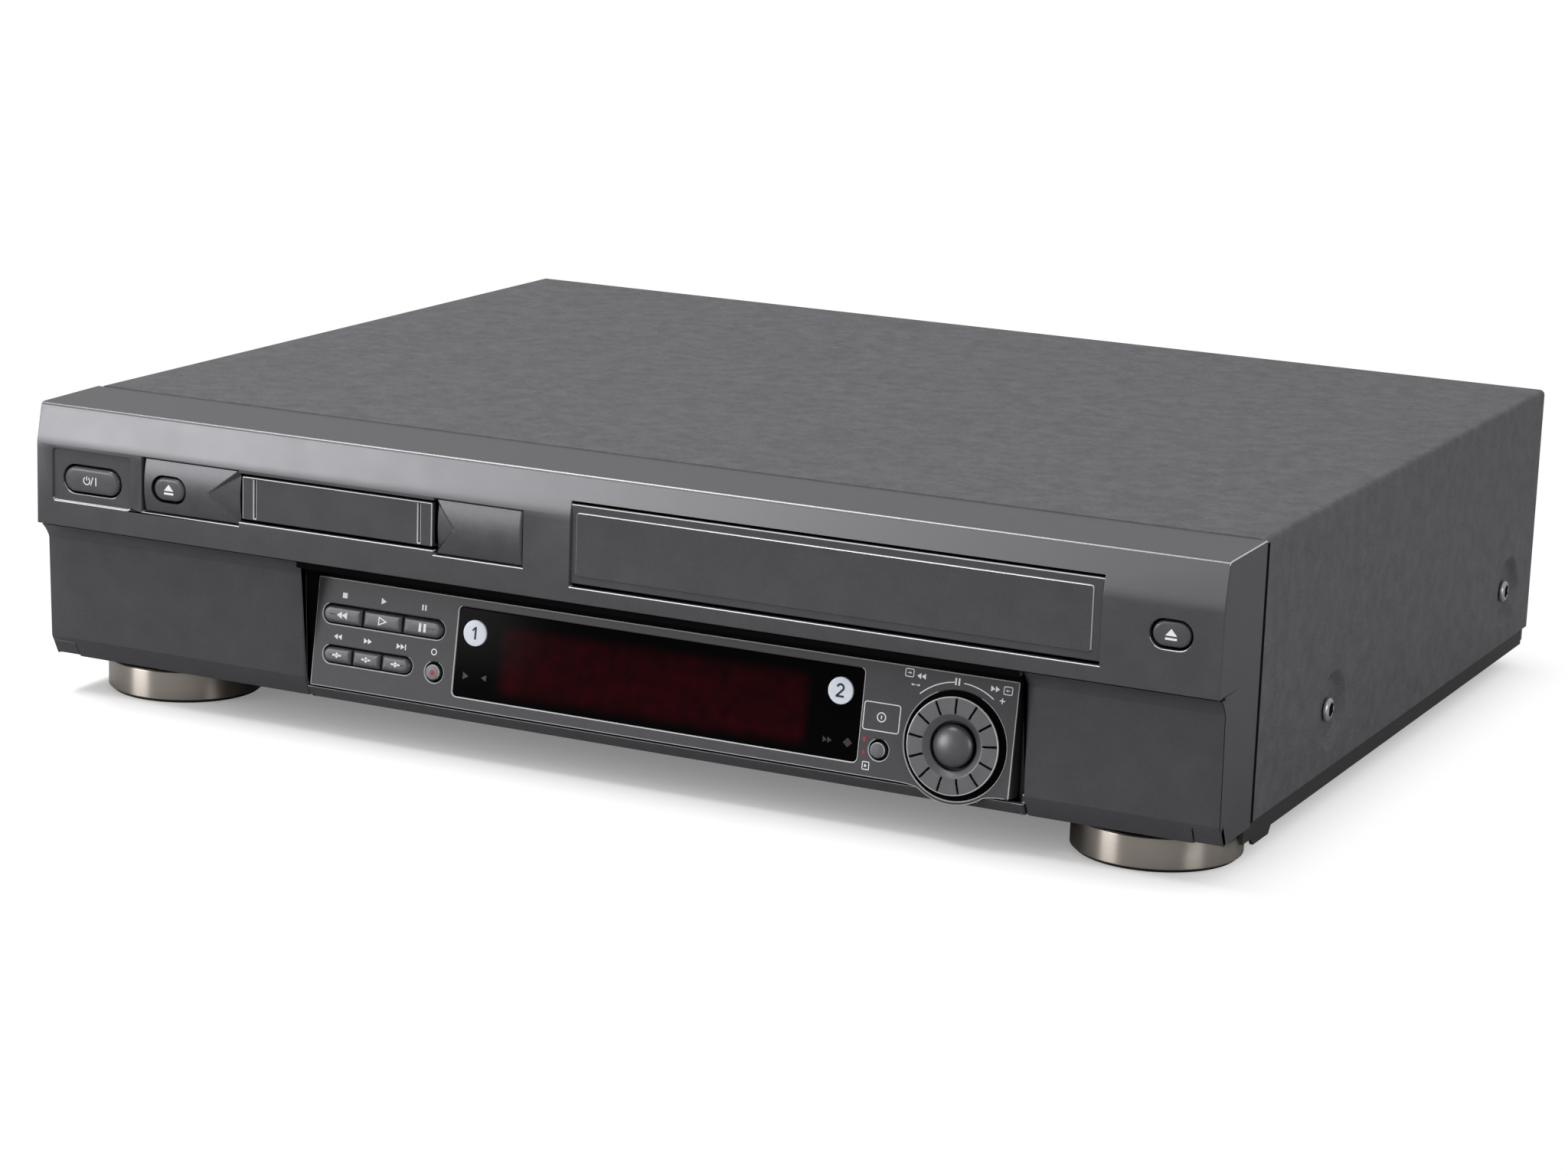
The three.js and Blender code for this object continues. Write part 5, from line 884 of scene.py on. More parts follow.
cover_points, cover_faces = lofted(np.concatenate([outside, inside], axis=1), capped=False)
for first in (0, (rows - 1) * 2 * columns):
    near = first + np.arange(columns)
    far = first + 2 * columns - 1 - np.arange(columns)
    cover_faces += np.stack([near[:-1], near[1:], far[1:], far[:-1]], axis=-1).tolist()
piece("cover_sheet", (cover_points, cover_faces), FRONT, textured_enamel, "top_cover", sharp=50)
print("the cover's grid is", rows, "x", columns)

# %% [markdown]
# ## Cassette door
# The large door is a moulded plate with a slightly raised field, set back from its edges by
# different amounts. It is a stack of rounded rectangles from its back edge to the face of the
# field.

# %% Cassette door
dark_line = 0.25
door = narrowed(face_of("cassette_door", FRONT, 3.05)[0], dark_line)
door_face = 1.0
door_edge = 0.35
raised_field = (door[0] + 3.1, door[1] - 4.4, door[2] + 2.9, door[3] - 2.9)
field_depths = door_face - np.array([0, 0.35, 0.46, 0.45])
field_insets = (-0.22, -0.08, 0.05, 0.3)
field_rings = stacked([outline(*raised_field, 0.9, inset) for inset in field_insets], field_depths)
door_edges = (door_edge, 0.3 * door_edge)
door_slab = slab(lambda inset: outline(*door, 0.4, inset), 3.0, door_face, *door_edges)
door_rings = np.concatenate([door_slab, field_rings])
door_shell = piece("door_face", door_rings, FRONT, painted_abs, "cassette_door", sharp=20)
# The rounds that don't face down get the pale paint as a painted highlight.
paint_edge_highlights(door_shell, FRONT)
print("the door is", np.round(door, 1))

# %% [markdown]
# ## Keys and buttons
# Every key is a low pillow: its edge rises steeply and turns over into an almost flat top. The rise
# over the inset follows a superellipse, which has both. Three keys share one long hole, so only the
# outer ends of a row are round. Their faces are measured from the frame, so a key can't drift from
# its stem.


# %% Pillow keys
def pillow(box, radii, front, back, rise, edge, crown):
    """Rings from the back edge to the middle: at the share s of the edge's width the height is
    rise (1 - (1 - s)^2.6)^(1/2.6), and over the top it grows by the crown to the middle line."""
    reach = (box[3] - box[2]) / 2 - least_radius
    over_edge = np.linspace(0, 1, 9) ** 1.6 * edge / reach
    share = np.concatenate([over_edge, np.linspace(edge / reach, 1, 6)[1:]])
    rim = np.minimum(share * reach / edge, 1)
    height = rise * (1 - (1 - rim) ** 2.6) ** (1 / 2.6) + crown * (1 - (1 - share) ** 2)
    outlines = [outline(*box, radii)] + [outline(*box, radii, s * reach) for s in share]
    return stacked(outlines, [back, *(front + (rise + crown) - height)])


key_slit = 0.12
ink_rise = 0.03
row_keys = {
    "stop_button": (3.1, 0.4, 0.4, 3.1),
    "play_button": (0.4, 0.4, 0.4, 0.4),
    "pause_button": (0.4, 3.1, 3.1, 0.4),
    "rewind_button": (2.8, 0.4, 0.4, 2.8),
    "forward_button": (0.4, 0.4, 0.4, 0.4),
    "skip_button": (0.4, 2.8, 2.8, 0.4),
}
front_keys = {"power_button": 0.75, "cassette_eject_button": 0.2, "small_eject_button": 0.2}
key_face = {}
for node, radii in row_keys.items():
    box, front = key_face[node] = face_of(node, PANEL, 0.2)
    rings = pillow(narrowed(box, key_slit), radii, front, 1.9, 1.4, 1.2, 0.12)
    piece(node + "_cap", rings, PANEL, key_lacquer, node)
for node, depth in front_keys.items():
    box, front = face_of(node, FRONT, depth)
    front = max(front, 2 * ink_rise)
    key_face[node] = (box, front)
    box = narrowed(box, key_slit)
    rings = pillow(box, (box[3] - box[2]) / 2, front, front + 3.0, 1.3, 1.4, 0.15)
    piece(node + "_cap", rings, FRONT, key_lacquer, node)
print({name: np.round(face[0], 1).tolist() for name, face in key_face.items()})

# %% [markdown]
# ## Round keys
# These are turned shapes. Their profiles run from the back, round the edge and to the middle of the
# face.

# %% Round keys
round_keys = {
    "record_button": dome_lacquer,
    "select_button": dome_lacquer,
    "deck_one_button": milky_acrylic,
    "deck_two_button": milky_acrylic,
}
for node, material in round_keys.items():
    is_lamp = node.startswith("deck")
    box, front = key_face[node] = face_of(node, PANEL, 0.25 if is_lamp else 0.0)
    radius = (box[1] - box[0]) / 2 - (0.0 if is_lamp else 0.4)
    x, z = centre_of(box)
    side = [(radius, front + 2.0), (radius, front)]
    face = [(radius * 0.5, front - 0.05), (0.02, front - 0.08)]
    profile = softened(side + face, [0.25 if is_lamp else min(0.5, 0.3 * radius), 1.0])
    cap = piece(node + "_cap", turned(profile, (x, 0, z)), PANEL, material, node)
    # The record and select caps get the pale paint on their edges as a painted highlight.
    if not is_lamp:
        paint_edge_highlights(cap, PANEL, 0.25, 0.93)
print(len(round_keys), "round keys")

# %% [markdown]
# ## Dial
# The shuttle ring is turned too, with a dish in its middle and a dome, the jog dial, in the dish.
# Thirteen fine grooves cross the ring, so there the depth also depends on the angle, and their
# faces are black as painted shade. Black collars behind the ring, the panel and the dome are
# painted shade in the gaps between them.

# %% Dial
dial, ring_front = face_of("shuttle_ring", PANEL, 0.5)
dial_x, dial_z = centre_of(dial)
ring_radius = (dial[1] - dial[0]) / 2 - 0.6
ring_inner = 8.2
dish_radius = 10.5
dish_depth = 1.2
tick_count = 13
tick_width = 0.5
tick_depth = 0.7
rim = [
    (ring_inner, 0.3),
    (ring_inner, ring_front + dish_depth),
    (dish_radius, ring_front),
    (ring_radius, ring_front),
    (ring_radius, ring_front + 0.6),
]
rim = softened(rim, [0.3, 0.25, 0.35], 6)
land = np.linspace(dish_radius + 0.6, ring_radius - 1.0, 6)
first_land = int(np.argmax(rim[:, 0] > dish_radius + 0.3))
land = np.column_stack([land, np.full(6, ring_front)])
behind = [(ring_inner + 0.3, ring_front + 1.9), (ring_inner, 0.3)]
ring_profile = np.concatenate([rim[:first_land], land, rim[first_land:], behind])
around = tick_count * 48
ring_rings = turned(ring_profile, (dial_x, 0, dial_z), around=around)
angle = np.linspace(0, 2 * math.pi, around, endpoint=False)
half_share = math.pi / tick_count
from_tick = (angle - math.pi / 2 + half_share) % (2 * half_share) - half_share
radii = ring_profile[:, 0][:, None]
in_tick = np.clip((tick_width / 2 + 0.12 - np.abs(from_tick)[None] * radii) / 0.16, 0, 1)
on_land = (radii > dish_radius + 0.45) & (radii < ring_radius - 0.75)
facing = (ring_profile[:, 1] < ring_front + 0.05)[:, None]
ring_rings[:, :, 1] += np.where(on_land & facing, in_tick * tick_depth, 0)
ring_shape = lofted(ring_rings, closed=True)
ring_face = piece("shuttle_ring_face", ring_shape, PANEL, dome_lacquer, "shuttle_ring", sharp=30)
ring_face.data.materials.append(edge_highlight_paint)
ring_face.data.materials.append(painted_shade_black)
on_drawing = PANEL.inverted()
# The outer rim gets the pale paint as a painted highlight, and the grooves black as painted shade.
for face in ring_face.data.polygons:
    x, depth, z = on_drawing @ face.center
    away = math.hypot(x - dial_x, z - dial_z)
    in_groove = ring_front + 0.25 < depth < ring_front + 1
    if away > ring_radius - 0.4:
        face.material_index = 1
    elif dish_radius + 0.3 < away < ring_radius - 0.5 and in_groove:
        face.material_index = 2
jog_low, jog_high = seen("jog_dial", PANEL)
jog_radius = (jog_high[0] - jog_low[0]) / 2 - 0.15
turn = np.linspace(0, math.pi / 2 - 0.01, 12)
dome_rise = 3.2
dome = np.column_stack([jog_radius * np.cos(turn), jog_low[1] + dome_rise * (1 - np.sin(turn))])
dome = np.concatenate([[(jog_radius, jog_high[1])], dome])
piece("jog_dome", turned(dome, (dial_x, 0, dial_z)), PANEL, dome_lacquer, "jog_dial")
# Black collars in the gaps round the ring and the dome are painted shade.
collars = {
    "shuttle_ring": (ring_radius - 2, ring_radius - 0.15, ring_front + 0.5, 1.2),
    "cabinet": (ring_radius - 1, 18.25, 0.75, 1.5),
    "jog_dial": (jog_radius - 1, jog_radius + 0.3, 0.1, 0.4),
}
for body, (inner, outer, front, back) in collars.items():
    profile = [(inner, front), (outer, front), (outer, back), (inner, back)]
    collar = lofted(turned(profile, (dial_x, 0, dial_z), around=96), closed=True)
    piece(f"{body}_collar", collar, PANEL, painted_shade_black, body=body)
print("the dial's centre is", round(dial_x, 1), round(dial_z, 1))

# %% [markdown]
# ## Window
# The window is a sheet of acrylic with a small round all along its front edge, a hair below the
# panel.

# %% Window
window, window_front = face_of("display_window", PANEL)
window_back = seen("display_window", PANEL)[1][1]
window_ends = (window_back, window_front)
window_slab = slab(lambda inset: outline(*window, 1.6, inset), *window_ends, 0.25, 0.08)
window_sheet = piece("window_sheet", window_slab, PANEL, smoked_acrylic, "display_window")
lamp_holes = []
for node in ("deck_one_button", "deck_two_button"):
    box, _ = key_face[node]
    x, z = centre_of(box)
    radius = (box[1] - box[0]) / 2 + 0.3
    lamp_holes.append(lofted(turned([(radius, -5), (radius, 8)], (x, 0, z), around=72)))
holed(window_sheet, lamp_holes, PANEL)
print("the window is", np.round(window, 1))

# %% [markdown]
# ## Panel
# The panel's outline is a rectangle with a lobe round the dial, and two hollow curves lead into the
# lobe. Its holes are cut with lips, and the lips that don't face down get the pale paint as a
# painted highlight. It is folded back at both ends, which closes the view past it, and black strips
# in the gaps round the front are painted shade.

# %% Panel
panel_low, panel_high = seen("control_panel", PANEL, 0.5)
panel = (panel_low[0], panel_high[0], 0.2, panel_high[2] - 1.2)
lobe_radius = 19.8
lobe_half = math.sqrt(lobe_radius**2 - dial_z**2)
lobe_end = 33
shoulder = 8.0
key_hole_gap = 0.45


def on_lobe(degrees):
    """A point of the lobe's circle, at an angle from its lowest point."""
    t = np.radians(degrees)
    return np.stack([dial_x + lobe_radius * np.sin(t), dial_z - lobe_radius * np.cos(t)], axis=-1)


def shoulder_curve(way):
    """A curve from the lower edge, over the corner, to a point on the lobe's circle."""
    start = np.array([dial_x + way * (lobe_half + shoulder), panel[2]])
    corner = np.array([dial_x + way * (lobe_half - 0.5), panel[2]])
    return curve(start, corner, on_lobe(way * lobe_end), np.linspace(0, 1, 12)[:, None])


lobe = on_lobe(np.linspace(-lobe_end, lobe_end, 20)[1:-1])
plain = outline(*panel, 0.6)
panel_edge = [plain[:9], shoulder_curve(-1), lobe, shoulder_curve(1)[::-1], plain[9:]]
panel_edge = np.concatenate(panel_edge)
panel_slab = slab(lambda inset: shrunk(panel_edge, inset), 2.5, 0.0, 0.35, 0.1)
panel_sheet = piece("panel_sheet", panel_slab, PANEL, painted_abs, "control_panel", sharp=20)
row_ends = (("stop_button", "pause_button", 3.5), ("rewind_button", "skip_button", 3.2))
holes = []
for first, last, radius in row_ends:
    (left, _, bottom, top), right = key_face[first][0], key_face[last][0][1]
    sides = narrowed((left, right, bottom, top), -key_hole_gap)
    holes.append(pill_cutter(sides, radius, 6.0))
for node in ("record_button", "select_button"):
    box, _ = key_face[node]
    holes.append(round_cutter(*centre_of(box), (box[1] - box[0]) / 2 + key_hole_gap, 6.0))
holes.append(round_cutter(dial_x, dial_z, 18.3, 1.6))
holes.append(pill_cutter(narrowed(window, -0.1), 1.7, 6.0))
holed(panel_sheet, holes, PANEL)
# Lips that don't face down get the pale paint as a painted highlight.
paint_edge_highlights(panel_sheet, PANEL)
# Black strips in the gaps round the front and beside the case are painted shade.
strips = {
    "step_foam": (outline(-116.8, 158.9, 62.9, 65.2, 0.05), (1.0, 2.5)),
    "recess_foam": (outline(-116.6, 158.7, 56.0, 65.2, 0.1), (14.4, 15.6)),
    "left_seam_foam": (outline(-226.6, -225.5, 15.1, 108.5, 0.05), (37.4, 42.4)),
    "right_seam_foam": (outline(225.5, 226.6, 15.1, 108.5, 0.05), (37.4, 42.4)),
}
for name, (shape, depths) in strips.items():
    piece(name, prism(shape, depths), FRONT, painted_shade_black)
return_sheet = 1.2
for side, x in (("left", panel[0]), ("right", panel[1] - return_sheet)):
    shape = outline(x, x + return_sheet, 0.3, panel[3] - 0.2, 0.2)
    piece(f"{side}_panel_return", prism(shape, (2.3, 9.3)), PANEL, painted_abs)
print("a panel of", np.round(panel, 1), "with", len(holes), "holes")

# %% [markdown]
# ## Screen-printed marks
# The marks are prisms of ink, a few hundredths of a millimetre proud of the surface. They are made
# from three kinds of outline: a triangle that points a way, a rectangle, and a stroke of even width
# along a line, which also draws arcs, circles and figures. All are generic pictograms.


# %% Marks
def triangle(x, z, width, height, way=1):
    """Base at one side and tip at the other: the way is 1 for a tip on the right."""
    base, tip = x - way * width / 2, x + way * width / 2
    return np.array([[base, z - height / 2], [tip, z], [base, z + height / 2]])


def rectangle(x, z, width, height):
    """Four corners around a centre."""
    ways = np.array([[-1, -1], [1, -1], [1, 1], [-1, 1]])
    return np.array([x, z]) + ways * np.array([width, height]) / 2


def stroke(points, width, closed=False):
    """Both sides of a line, p + n w / 2 and p - n w / 2, where n is square to the line. At a corner
    n is longer by 1 / cos of half the turn, which keeps the width even."""
    points = np.array(points, float)
    if closed:
        points = np.concatenate([points, points[:1]])
    ahead = np.diff(points, axis=0)
    ahead /= np.linalg.norm(ahead, axis=1)[:, None]
    before = np.concatenate([ahead[-1:] if closed else ahead[:1], ahead])
    after = np.concatenate([ahead, ahead[:1] if closed else ahead[-1:]])
    middle = before + after
    middle /= np.linalg.norm(middle, axis=1)[:, None]
    stretch = 1 / np.maximum(np.sum(middle * before, axis=1), 0.4)
    square = np.column_stack([-middle[:, 1], middle[:, 0]]) * (stretch * width / 2)[:, None]
    return points + square, points - square


def arc(x, z, radius, start, end, steps=24):
    """Points of a circle between two angles in degrees, from X towards Z."""
    t = np.radians(np.linspace(start, end, steps))
    return np.column_stack([x + radius * np.cos(t), z + radius * np.sin(t)])


def moved(shapes, x, z):
    """Shapes round the origin, carried to another centre. A stroke is two lines, and both move."""
    shift = np.array([x, z])
    return [tuple(p + shift for p in s) if isinstance(s, tuple) else s + shift for s in shapes]


ink_root = 0.25


def inked(name, shapes, drawing, face, ink, body=root):
    """Prisms from a little inside a face to a little in front of it. A stroke is a band of quads,
    so that a closed one keeps its hole."""
    depths = (face + ink_root, face - ink_rise)
    parts = []
    for shape in shapes:
        if isinstance(shape, tuple):
            deep, proud = (stacked(shape, [depth] * 2) for depth in depths)
            loops = np.stack([deep[0], proud[0], proud[1], deep[1]])
            closed = np.allclose(shape[0][0], shape[0][-1])
            parts.append(lofted(loops[:, :-1] if closed else loops.transpose(1, 0, 2), closed))
        else:
            parts.append(prism(shape, depths))
    piece(name, joined(parts), drawing, ink, body=body)


print("an ink film stands", ink_rise, "mm proud")

# %% [markdown]
# ## Marks on the keys
# Each key's mark is drawn round the origin and carried to the middle of its key: two triangles, an
# open triangle, two bars, a circle with a bar, a triangle over a bar, and a small lozenge on a bar.

# %% Marks on keys
eject_sign = [np.array([[-2.0, -0.45], [2.0, -0.45], [0, 1.9]]), rectangle(0, -1.45, 4.0, 0.75)]
star_sign = [
    np.array([[-0.95, 0], [0, -1.05], [0.95, 0], [0, 1.05]]),
    rectangle(0, 0, 3.6, 0.6),
]
power_sign = [
    stroke(arc(-2.0, 0, 1.35, 125, 415), 0.36),
    rectangle(-2.0, 0.9, 0.36, 1.5),
    stroke([(-0.3, -1.5), (0.7, 1.5)], 0.34),
    rectangle(2.0, 0, 0.4, 3.0),
]
signs = {
    "stop_button": [triangle(-1.1, 0, 2.1, 2.6, -1), triangle(1.0, 0, 2.1, 2.6, -1)],
    "play_button": [stroke([(-1.3, -1.35), (1.6, 0), (-1.3, 1.35)], 0.42, closed=True)],
    "pause_button": [rectangle(-0.95, 0, 1.0, 3.0), rectangle(0.95, 0, 1.0, 3.0)],
    "power_button": power_sign,
    "cassette_eject_button": eject_sign,
    "small_eject_button": eject_sign,
    "rewind_button": star_sign,
    "forward_button": star_sign,
    "skip_button": star_sign,
}
for node, shapes in signs.items():
    box, front = key_face[node]
    drawing = FRONT if node in front_keys else PANEL
    inked(node + "_mark", moved(shapes, *centre_of(box)), drawing, front, white_ink, node)
print(len(signs), "marks on keys")

# %% [markdown]
# ## Marks on the panel
# Small signs stand over both rows of keys, beside the select key and round the dial. Two are red.
# The window has four signs that are only seen when light falls on the unlit tube.


# %% Marks on the panel
def pair(x, z, way=1, width=1.5, height=2.0):
    """Two triangles in a row."""
    return [triangle(x + i * 0.55 * width, z, width, height, way) for i in (-1, 1)]


def box_sign(x, z):
    """A small square frame with cut corners."""
    return [stroke(outline(x - 1.5, x + 1.5, z - 1.3, z + 1.3, 0.5)[::3], 0.28, closed=True)]


def arrow(x, z, way=1):
    """A short shaft with a tip."""
    return [rectangle(x - way * 0.25, z, 0.9, 0.24), triangle(x + way * 0.45, z, 0.7, 0.9, way)]


def circle(x, z, radius):
    """A circle's line, as wide as the figures' own."""
    return stroke(arc(x, z, radius, 0, 360, 25)[:-1], 0.35, closed=True)


row_one = panel[3] - 5.7
row_two = panel[3] - 20.6
over_keys = [
    rectangle(-104, row_one, 1.9, 1.9),
    triangle(-87.9, row_one, 2.0, 2.3),
    rectangle(-72.0, row_one, 0.6, 2.0),
    rectangle(-70.8, row_one, 0.6, 2.0),
    *pair(-105.5, row_two, -1),
    *pair(-93.1, row_two),
    *pair(-79.6, row_two),
    rectangle(-77.6, row_two, 0.4, 2.0),
    circle(-65.9, row_two, 1.0),
]
by_select_key = [
    stroke(outline(99.9, 113.0, 16.0, 25.4, 0.9)[::2], 0.3, closed=True),
    circle(106.4, 20.7, 1.5),
    rectangle(106.4, 20.7, 0.4, 1.2),
    stroke(outline(101.2, 103.6, 2.6, 5.2, 0.3)[::3], 0.28, closed=True),
    triangle(102.4, 3.9, 0.9, 1.2),
]
round_dial = [
    *pair(119.2, 36.3, -1),
    *box_sign(114.9, 36.9),
    *arrow(114.9, 36.9),
    *arrow(118.3, 33.2),
    *arrow(116.6, 33.2, -1),
    *pair(145.8, 35.8),
    *box_sign(150.3, 35.8),
    *arrow(150.3, 35.8, -1),
    rectangle(148.6, 32.2, 1.9, 0.35),
    rectangle(148.6, 32.2, 0.35, 1.9),
    rectangle(131.6, 36.3, 0.6, 2.4),
    rectangle(132.8, 36.3, 0.6, 2.4),
    stroke(arc(dial_x, dial_z, 20.9, 96.5, 133), 0.35),
    stroke(arc(dial_x, dial_z, 20.9, 87, 55), 0.35),
]
white_shapes = over_keys + by_select_key + round_dial
red_shapes = [rectangle(101.0, 12.6, 0.9, 1.6), rectangle(101.1, 8.2, 0.9, 1.3)]
dim_shapes = [
    triangle(-52.6, 12.0, 2.2, 2.6),
    triangle(-45.4, 12.2, 2.0, 2.2, -1),
    *pair(87.4, 10.4, 1, 1.6, 2.2),
    np.array([[93.2, 10.5], [94.9, 8.9], [96.6, 10.5], [94.9, 12.1]]),
]
inked("panel_marks", white_shapes, PANEL, 0.0, white_ink)
inked("panel_red_marks", red_shapes, PANEL, 0.0, red_ink)
inked("window_signs", dim_shapes, PANEL, window_front, dim_ink)
print(len(white_shapes), "white marks on the panel")

# %% [markdown]
# ## Figures and a dot
# The two lamps carry plain figures in dark ink, and the record key has a red dot.

# %% Figures and a dot
bow = np.concatenate([arc(0.0, 1.0, 1.15, 170, -30, 12), [(-0.3, -0.9), (-1.25, -1.9)]])
flag = np.array([[-1.1, 1.0], [-0.7, 0.6], [0.0, 1.3], [0.0, 2.2]])
figures = {
    "deck_one_button": [rectangle(0.35, 0.0, 0.75, 4.4), flag],
    "deck_two_button": [stroke(bow, 0.72), rectangle(0.0, -1.9, 3.0, 0.72)],
}
for node, shapes in figures.items():
    box, front = key_face[node]
    inked(node + "_figure", moved(shapes, *centre_of(box)), PANEL, front - 0.08, dark_ink, node)
box, front = key_face["record_button"]
x, z = centre_of(box)
dot = softened([(0.95, front + 0.2), (0.95, front - 0.12), (0.02, front - 0.14)], [0.1], 3)
piece("record_dot", turned(dot, (x, 0, z), around=32), PANEL, red_ink, body="record_button")
print(len(figures), "figures and 1 dot")

# %% [markdown]
# ## Feet
# Each front foot is a turned ring of nickel-plated steel round a black core, with a rubber base. A
# groove shows between the ring and the case. The rear feet are plain rubber studs.

# %% Feet
foot_radius = 28.8
ring_bore = 26.8
ring_bottom, ring_top = 1.2, 11.8
ring = [(ring_bore, 9.8), (ring_bore, ring_top), (foot_radius, ring_top)]
ring += [(foot_radius, ring_bottom), (ring_bore, ring_bottom), (ring_bore, 9.8)]
ring = softened(ring, [0.5, 0.6, 0.4, 0.3], 5)[:-1]
core = [(27.2, 0.0), (27.6, 0.3), (27.6, 1.2), (26.9, 1.2), (26.9, 9.8), (21.0, 9.8)]
for side in ("left", "right"):
    node = f"{side}_front_foot"
    low, high = seen(node, FRONT)
    middle = (low + high) / 2 * (1, 1, 0)
    ring_shape = lofted(turned(ring, middle, "z", 128), closed=True)
    piece(f"{side}_foot_ring", ring_shape, FRONT, brushed_nickel, node)
    profile = softened([*core, (21.0, high[2])], [0.2, 0.05, 0.05, 0.05, 0.3, 0.3], 3)
    piece(f"{side}_foot_core", turned(profile, middle, "z", 96), FRONT, rubber)
    node = f"{side}_rear_foot"
    low, high = seen(node, FRONT)
    middle = (low + high) / 2 * (1, 1, 0)
    radius = (high[0] - low[0]) / 2
    stud = [(radius - 1.6, 0), (radius, 1.6), (radius, high[2]), (0.02, high[2])]
    stud = turned([(0.02, 0), *softened(stud, [0.8, 0.3])], middle, "z", 48)
    piece(f"{side}_rear_stud", stud, FRONT, rubber, node)
print("4 feet")

# %% [markdown]
# ## Cover screws
# The screws have a low rounded head and a six-sided socket. A hexagon is a circle whose radius
# depends on the angle, a / cos(t), where t is the angle from the middle of the nearest side.

# %% Screws
socket_depth = 1.0
t = np.linspace(0, 2 * math.pi, 48, endpoint=False)
hexagon = 1 / np.cos((t + math.pi / 6) % (math.pi / 3) - math.pi / 6)
for side, sign in (("left", -1), ("right", 1)):
    for row in ("front", "rear"):
        node = f"{side}_{row}_cover_screw"
        low, high = seen(node, FRONT)
        middle = (low + high) / 2 * (0, 1, 1)
        radius = (high[1] - low[1]) / 2
        face = high[0] if sign > 0 else low[0]
        head = [
            (radius, 1.6),
            (radius, 0.9),
            (radius * 0.93, 0.45),
            (radius * 0.8, 0.15),
            (radius * 0.62, 0),
            (2.5 * hexagon, 0),
            (2.35 * hexagon, 0.15),
            (2.35 * hexagon, socket_depth),
            (0.02, socket_depth),
        ]
        bottom = [(2.4, 1.3), (2.4, 0.25), (0.02, 0.35)]
        head, bottom = ([(r, face - sign * d) for r, d in shape] for shape in (head, bottom))
        piece(f"{node}_head", turned(head, middle, "x", 48), FRONT, screw_steel, node)
        # The black floor of the socket is painted shade.
        piece(f"{node}_socket", turned(bottom, middle, "x", 32), FRONT, painted_shade_black)
print("4 screws")

# %% [markdown]
# ## Finishes for what stays
# The solids inside keep their shape, which is all that is ever seen of them, through an open door
# or with the cover off. Each gets the material that it is made of.

# %% Inside
kept = {
    dark_enamel: "chassis_pan",
    zinc_steel: "deck_plate carriage_frame small_deck_plate tuner_module",
    circuit_board: "main_board power_supply front_board",
    black_abs: "phono_block front_socket_block mains_inlet scart_block cassette_basket "
    "small_basket carriage_trolley loading_motor encoder_shaft pinch_roller_arm",
    acetal: "supply_reel takeup_reel cam_gear loading_worm",
    machined_aluminium: "upper_drum small_drum capstan_flywheel",
    rubber: "pinch_roller",
}
for material, names in kept.items():
    for name in names.split():
        nodes[name].data.materials.clear()
        nodes[name].data.materials.append(material)
print(sum(len(names.split()) for names in kept.values()), "solids keep their shape")

# %% [markdown]
# ## Studio
# The machine stands on a white floor in a white room, as in a catalogue. The camera sees the room
# as pure white. Soft light comes from all round at a lower level, and mirrors see a dimmer room
# still, so that the lamps, and not the walls, light the edges, beside the painted highlights.

# %% Room
room_light = 0.85
room_in_mirrors = 0.4
world = bpy.data.worlds.new("white room")
bpy.context.scene.world = world
world.use_nodes = True
room = world.node_tree
room.nodes.clear()
path = add(room, "LightPath").outputs
for_eye = add(room, "MapRange", {0: path["Is Camera Ray"], 3: room_light, 4: 1.0}).outputs[0]
in_mirror = {0: path["Is Glossy Ray"], 3: for_eye, 4: room_in_mirrors}
level = add(room, "MapRange", in_mirror).outputs[0]
sky = add(room, "Background", {"Color": (1, 1, 1, 1), "Strength": level}).outputs[0]
add(room, "OutputWorld", {"Surface": sky})
print("the room gives", room_light, "of light")

# %% [markdown]
# ## Floor
# A floor of white paper is never as white as the backdrop, so its own light is added for the
# camera: all of it from a few centimetres away, and only part of it next to the machine, where the
# shadow must show. To mirrors and to the soft light it is a plain grey, so it doesn't lift the dark
# undersides.

# %% Floor
floor_half = 6.0
shadow_share = 0.8
shadow_reach = 0.05
shadow_shift = (0.025, 0.025, 0)
floor_points = np.array([[-1, -1, 0], [1, -1, 0], [1, 1, 0], [-1, 1, 0]]) * floor_half
floor_mesh = bpy.data.meshes.new("floor")
floor_mesh.from_pydata(floor_points.tolist(), [], [[0, 1, 2, 3]])
floor = bpy.data.objects.new("floor", floor_mesh)
bpy.context.scene.collection.objects.link(floor)
floor_paint, floor_tree, floor_shader, away = finish(
    "white studio floor", "#ffffff", 0.9, Specular_IOR_Level=0
)
steps = {"ADD": shadow_shift, "ABSOLUTE": None, "SUBTRACT": cad_box[1], "MAXIMUM": (0, 0, 0)}
for operation, by in steps.items():
    sockets = {0: away} if by is None else {0: away, 1: by}
    away = add(floor_tree, "VectorMath", sockets, operation=operation).outputs[0]
away = add(floor_tree, "VectorMath", {0: away}, operation="LENGTH").outputs["Value"]
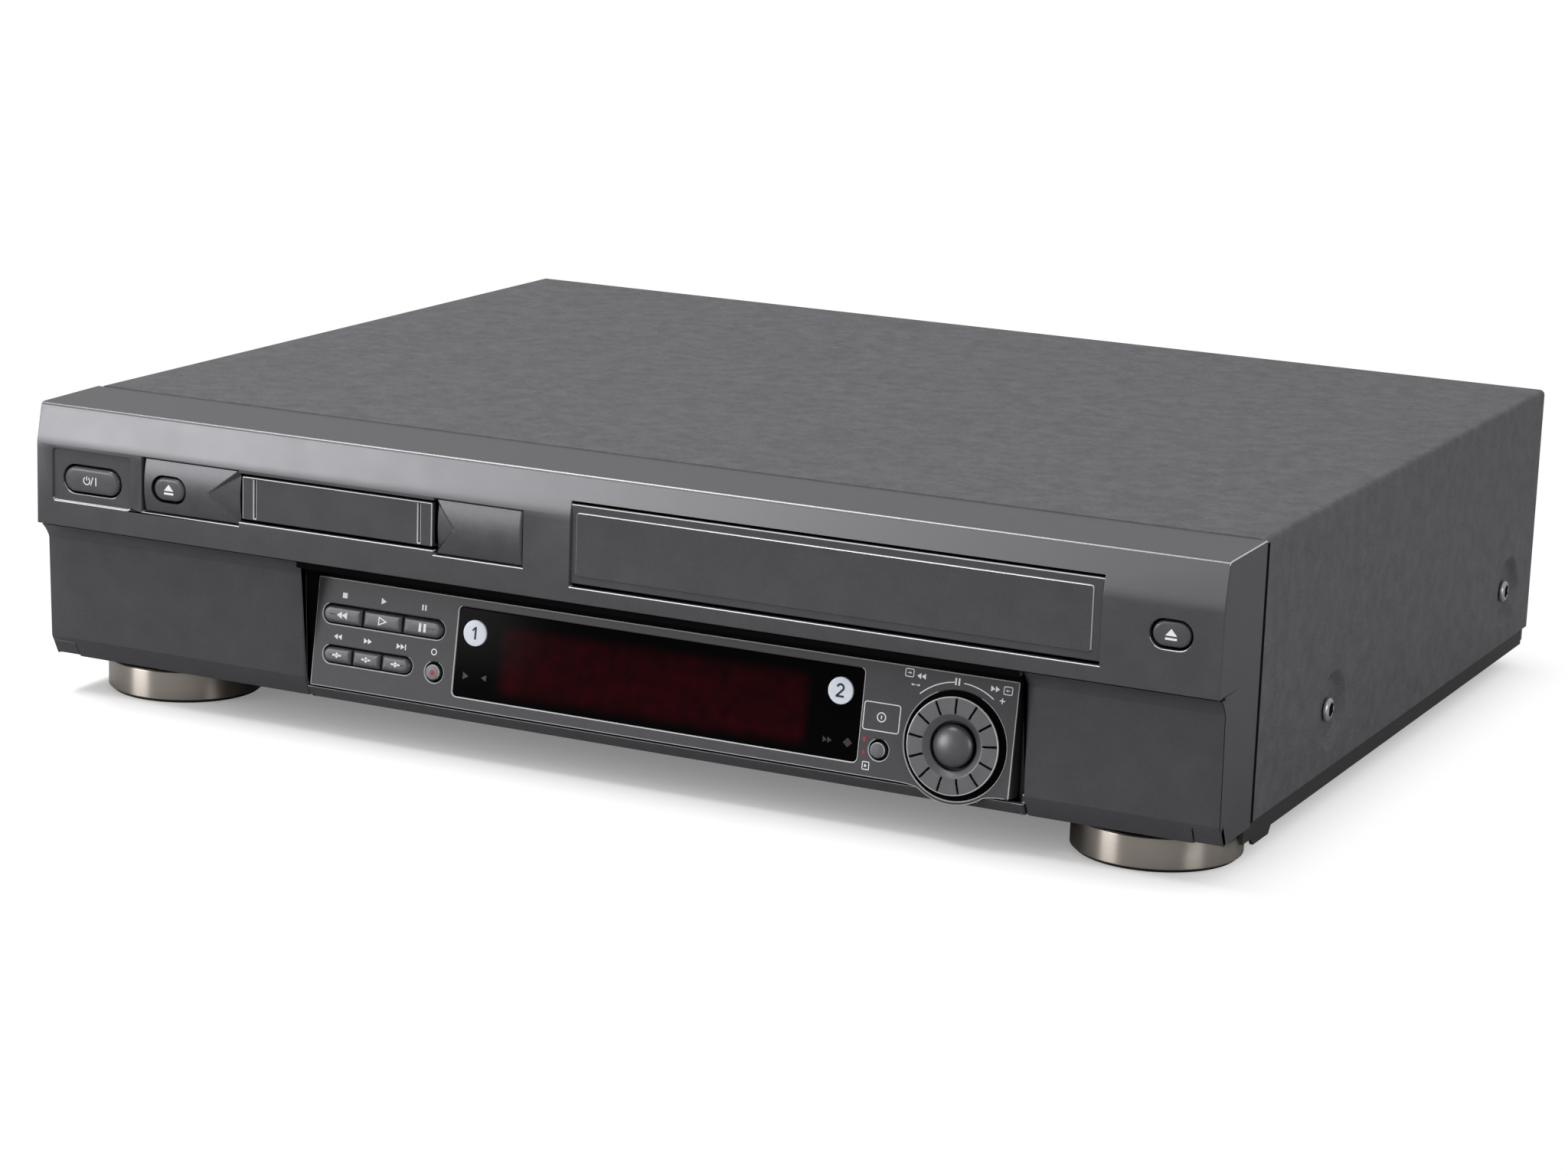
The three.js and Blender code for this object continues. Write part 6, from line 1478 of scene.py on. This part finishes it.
lift = {0: away, 1: 0.0, 2: shadow_reach, 3: 1 - shadow_share, 4: 1.0}
lifted = add(floor_tree, "MapRange", lift, interpolation_type="SMOOTHSTEP").outputs[0]
glow = add(floor_tree, "Emission", {"Color": (1, 1, 1, 1), "Strength": 1.0}).outputs[0]
grey = add(floor_tree, "BsdfDiffuse", {"Color": linear("#959595")}).outputs[0]
for_eye = {0: lifted, 1: floor_shader.outputs[0], 2: glow}
for_eye = add(floor_tree, "MixShader", for_eye).outputs[0]
is_eye = add(floor_tree, "LightPath").outputs["Is Camera Ray"]
whole = add(floor_tree, "MixShader", {0: is_eye, 1: grey, 2: for_eye}).outputs[0]
plug(floor_tree, floor_tree.nodes["Material Output"], {"Surface": whole})
floor_mesh.materials.append(floor_paint)
floor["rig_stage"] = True
print("a floor", 2 * floor_half, "m wide")

# %% [markdown]
# ## Lamps
# One strong soft lamp hangs above and a little in front, and makes the top paler than the sides. A
# low pane at the front left is what the sloping lacquer and the feet mirror, and another stands on
# the right.


# %% Lamps
def lamp(name, place, target, width, height, power):
    """A rectangular area lamp, width by height in metres, aimed from its place at a point."""
    data = bpy.data.lights.new(name, "AREA")
    data.shape = "RECTANGLE"
    data.size = width
    data.size_y = height
    data.energy = power
    made = bpy.data.objects.new(name, data)
    made.location = place
    made.rotation_euler = (Vector(target) - Vector(place)).to_track_quat("-Z", "Y").to_euler()
    bpy.context.scene.collection.objects.link(made)


lamp("overhead", (-0.8, -0.4, 1.8), (0, 0, 0), 1.2, 0.4, 24)
lamp("front left pane", (-1.5, -1.85, 0.5), (0, -0.1, 0.08), 1.0, 0.9, 14)
lamp("right pane", (2.0, -0.75, 0.6), (0, 0, 0.05), 0.8, 0.8, 5.0)
bpy.context.scene.view_settings.view_transform = "Standard"
print("3 lamps")

# %% [markdown]
# ## Size
# The dressed model must fill the frame's box and no more, so both boxes are written down.

# %% Size and end
sizes = {"cad": cad_box, "visual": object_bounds()}
sizes = {name: [list(corner) for corner in box] for name, box in sizes.items()}
print(sizes)
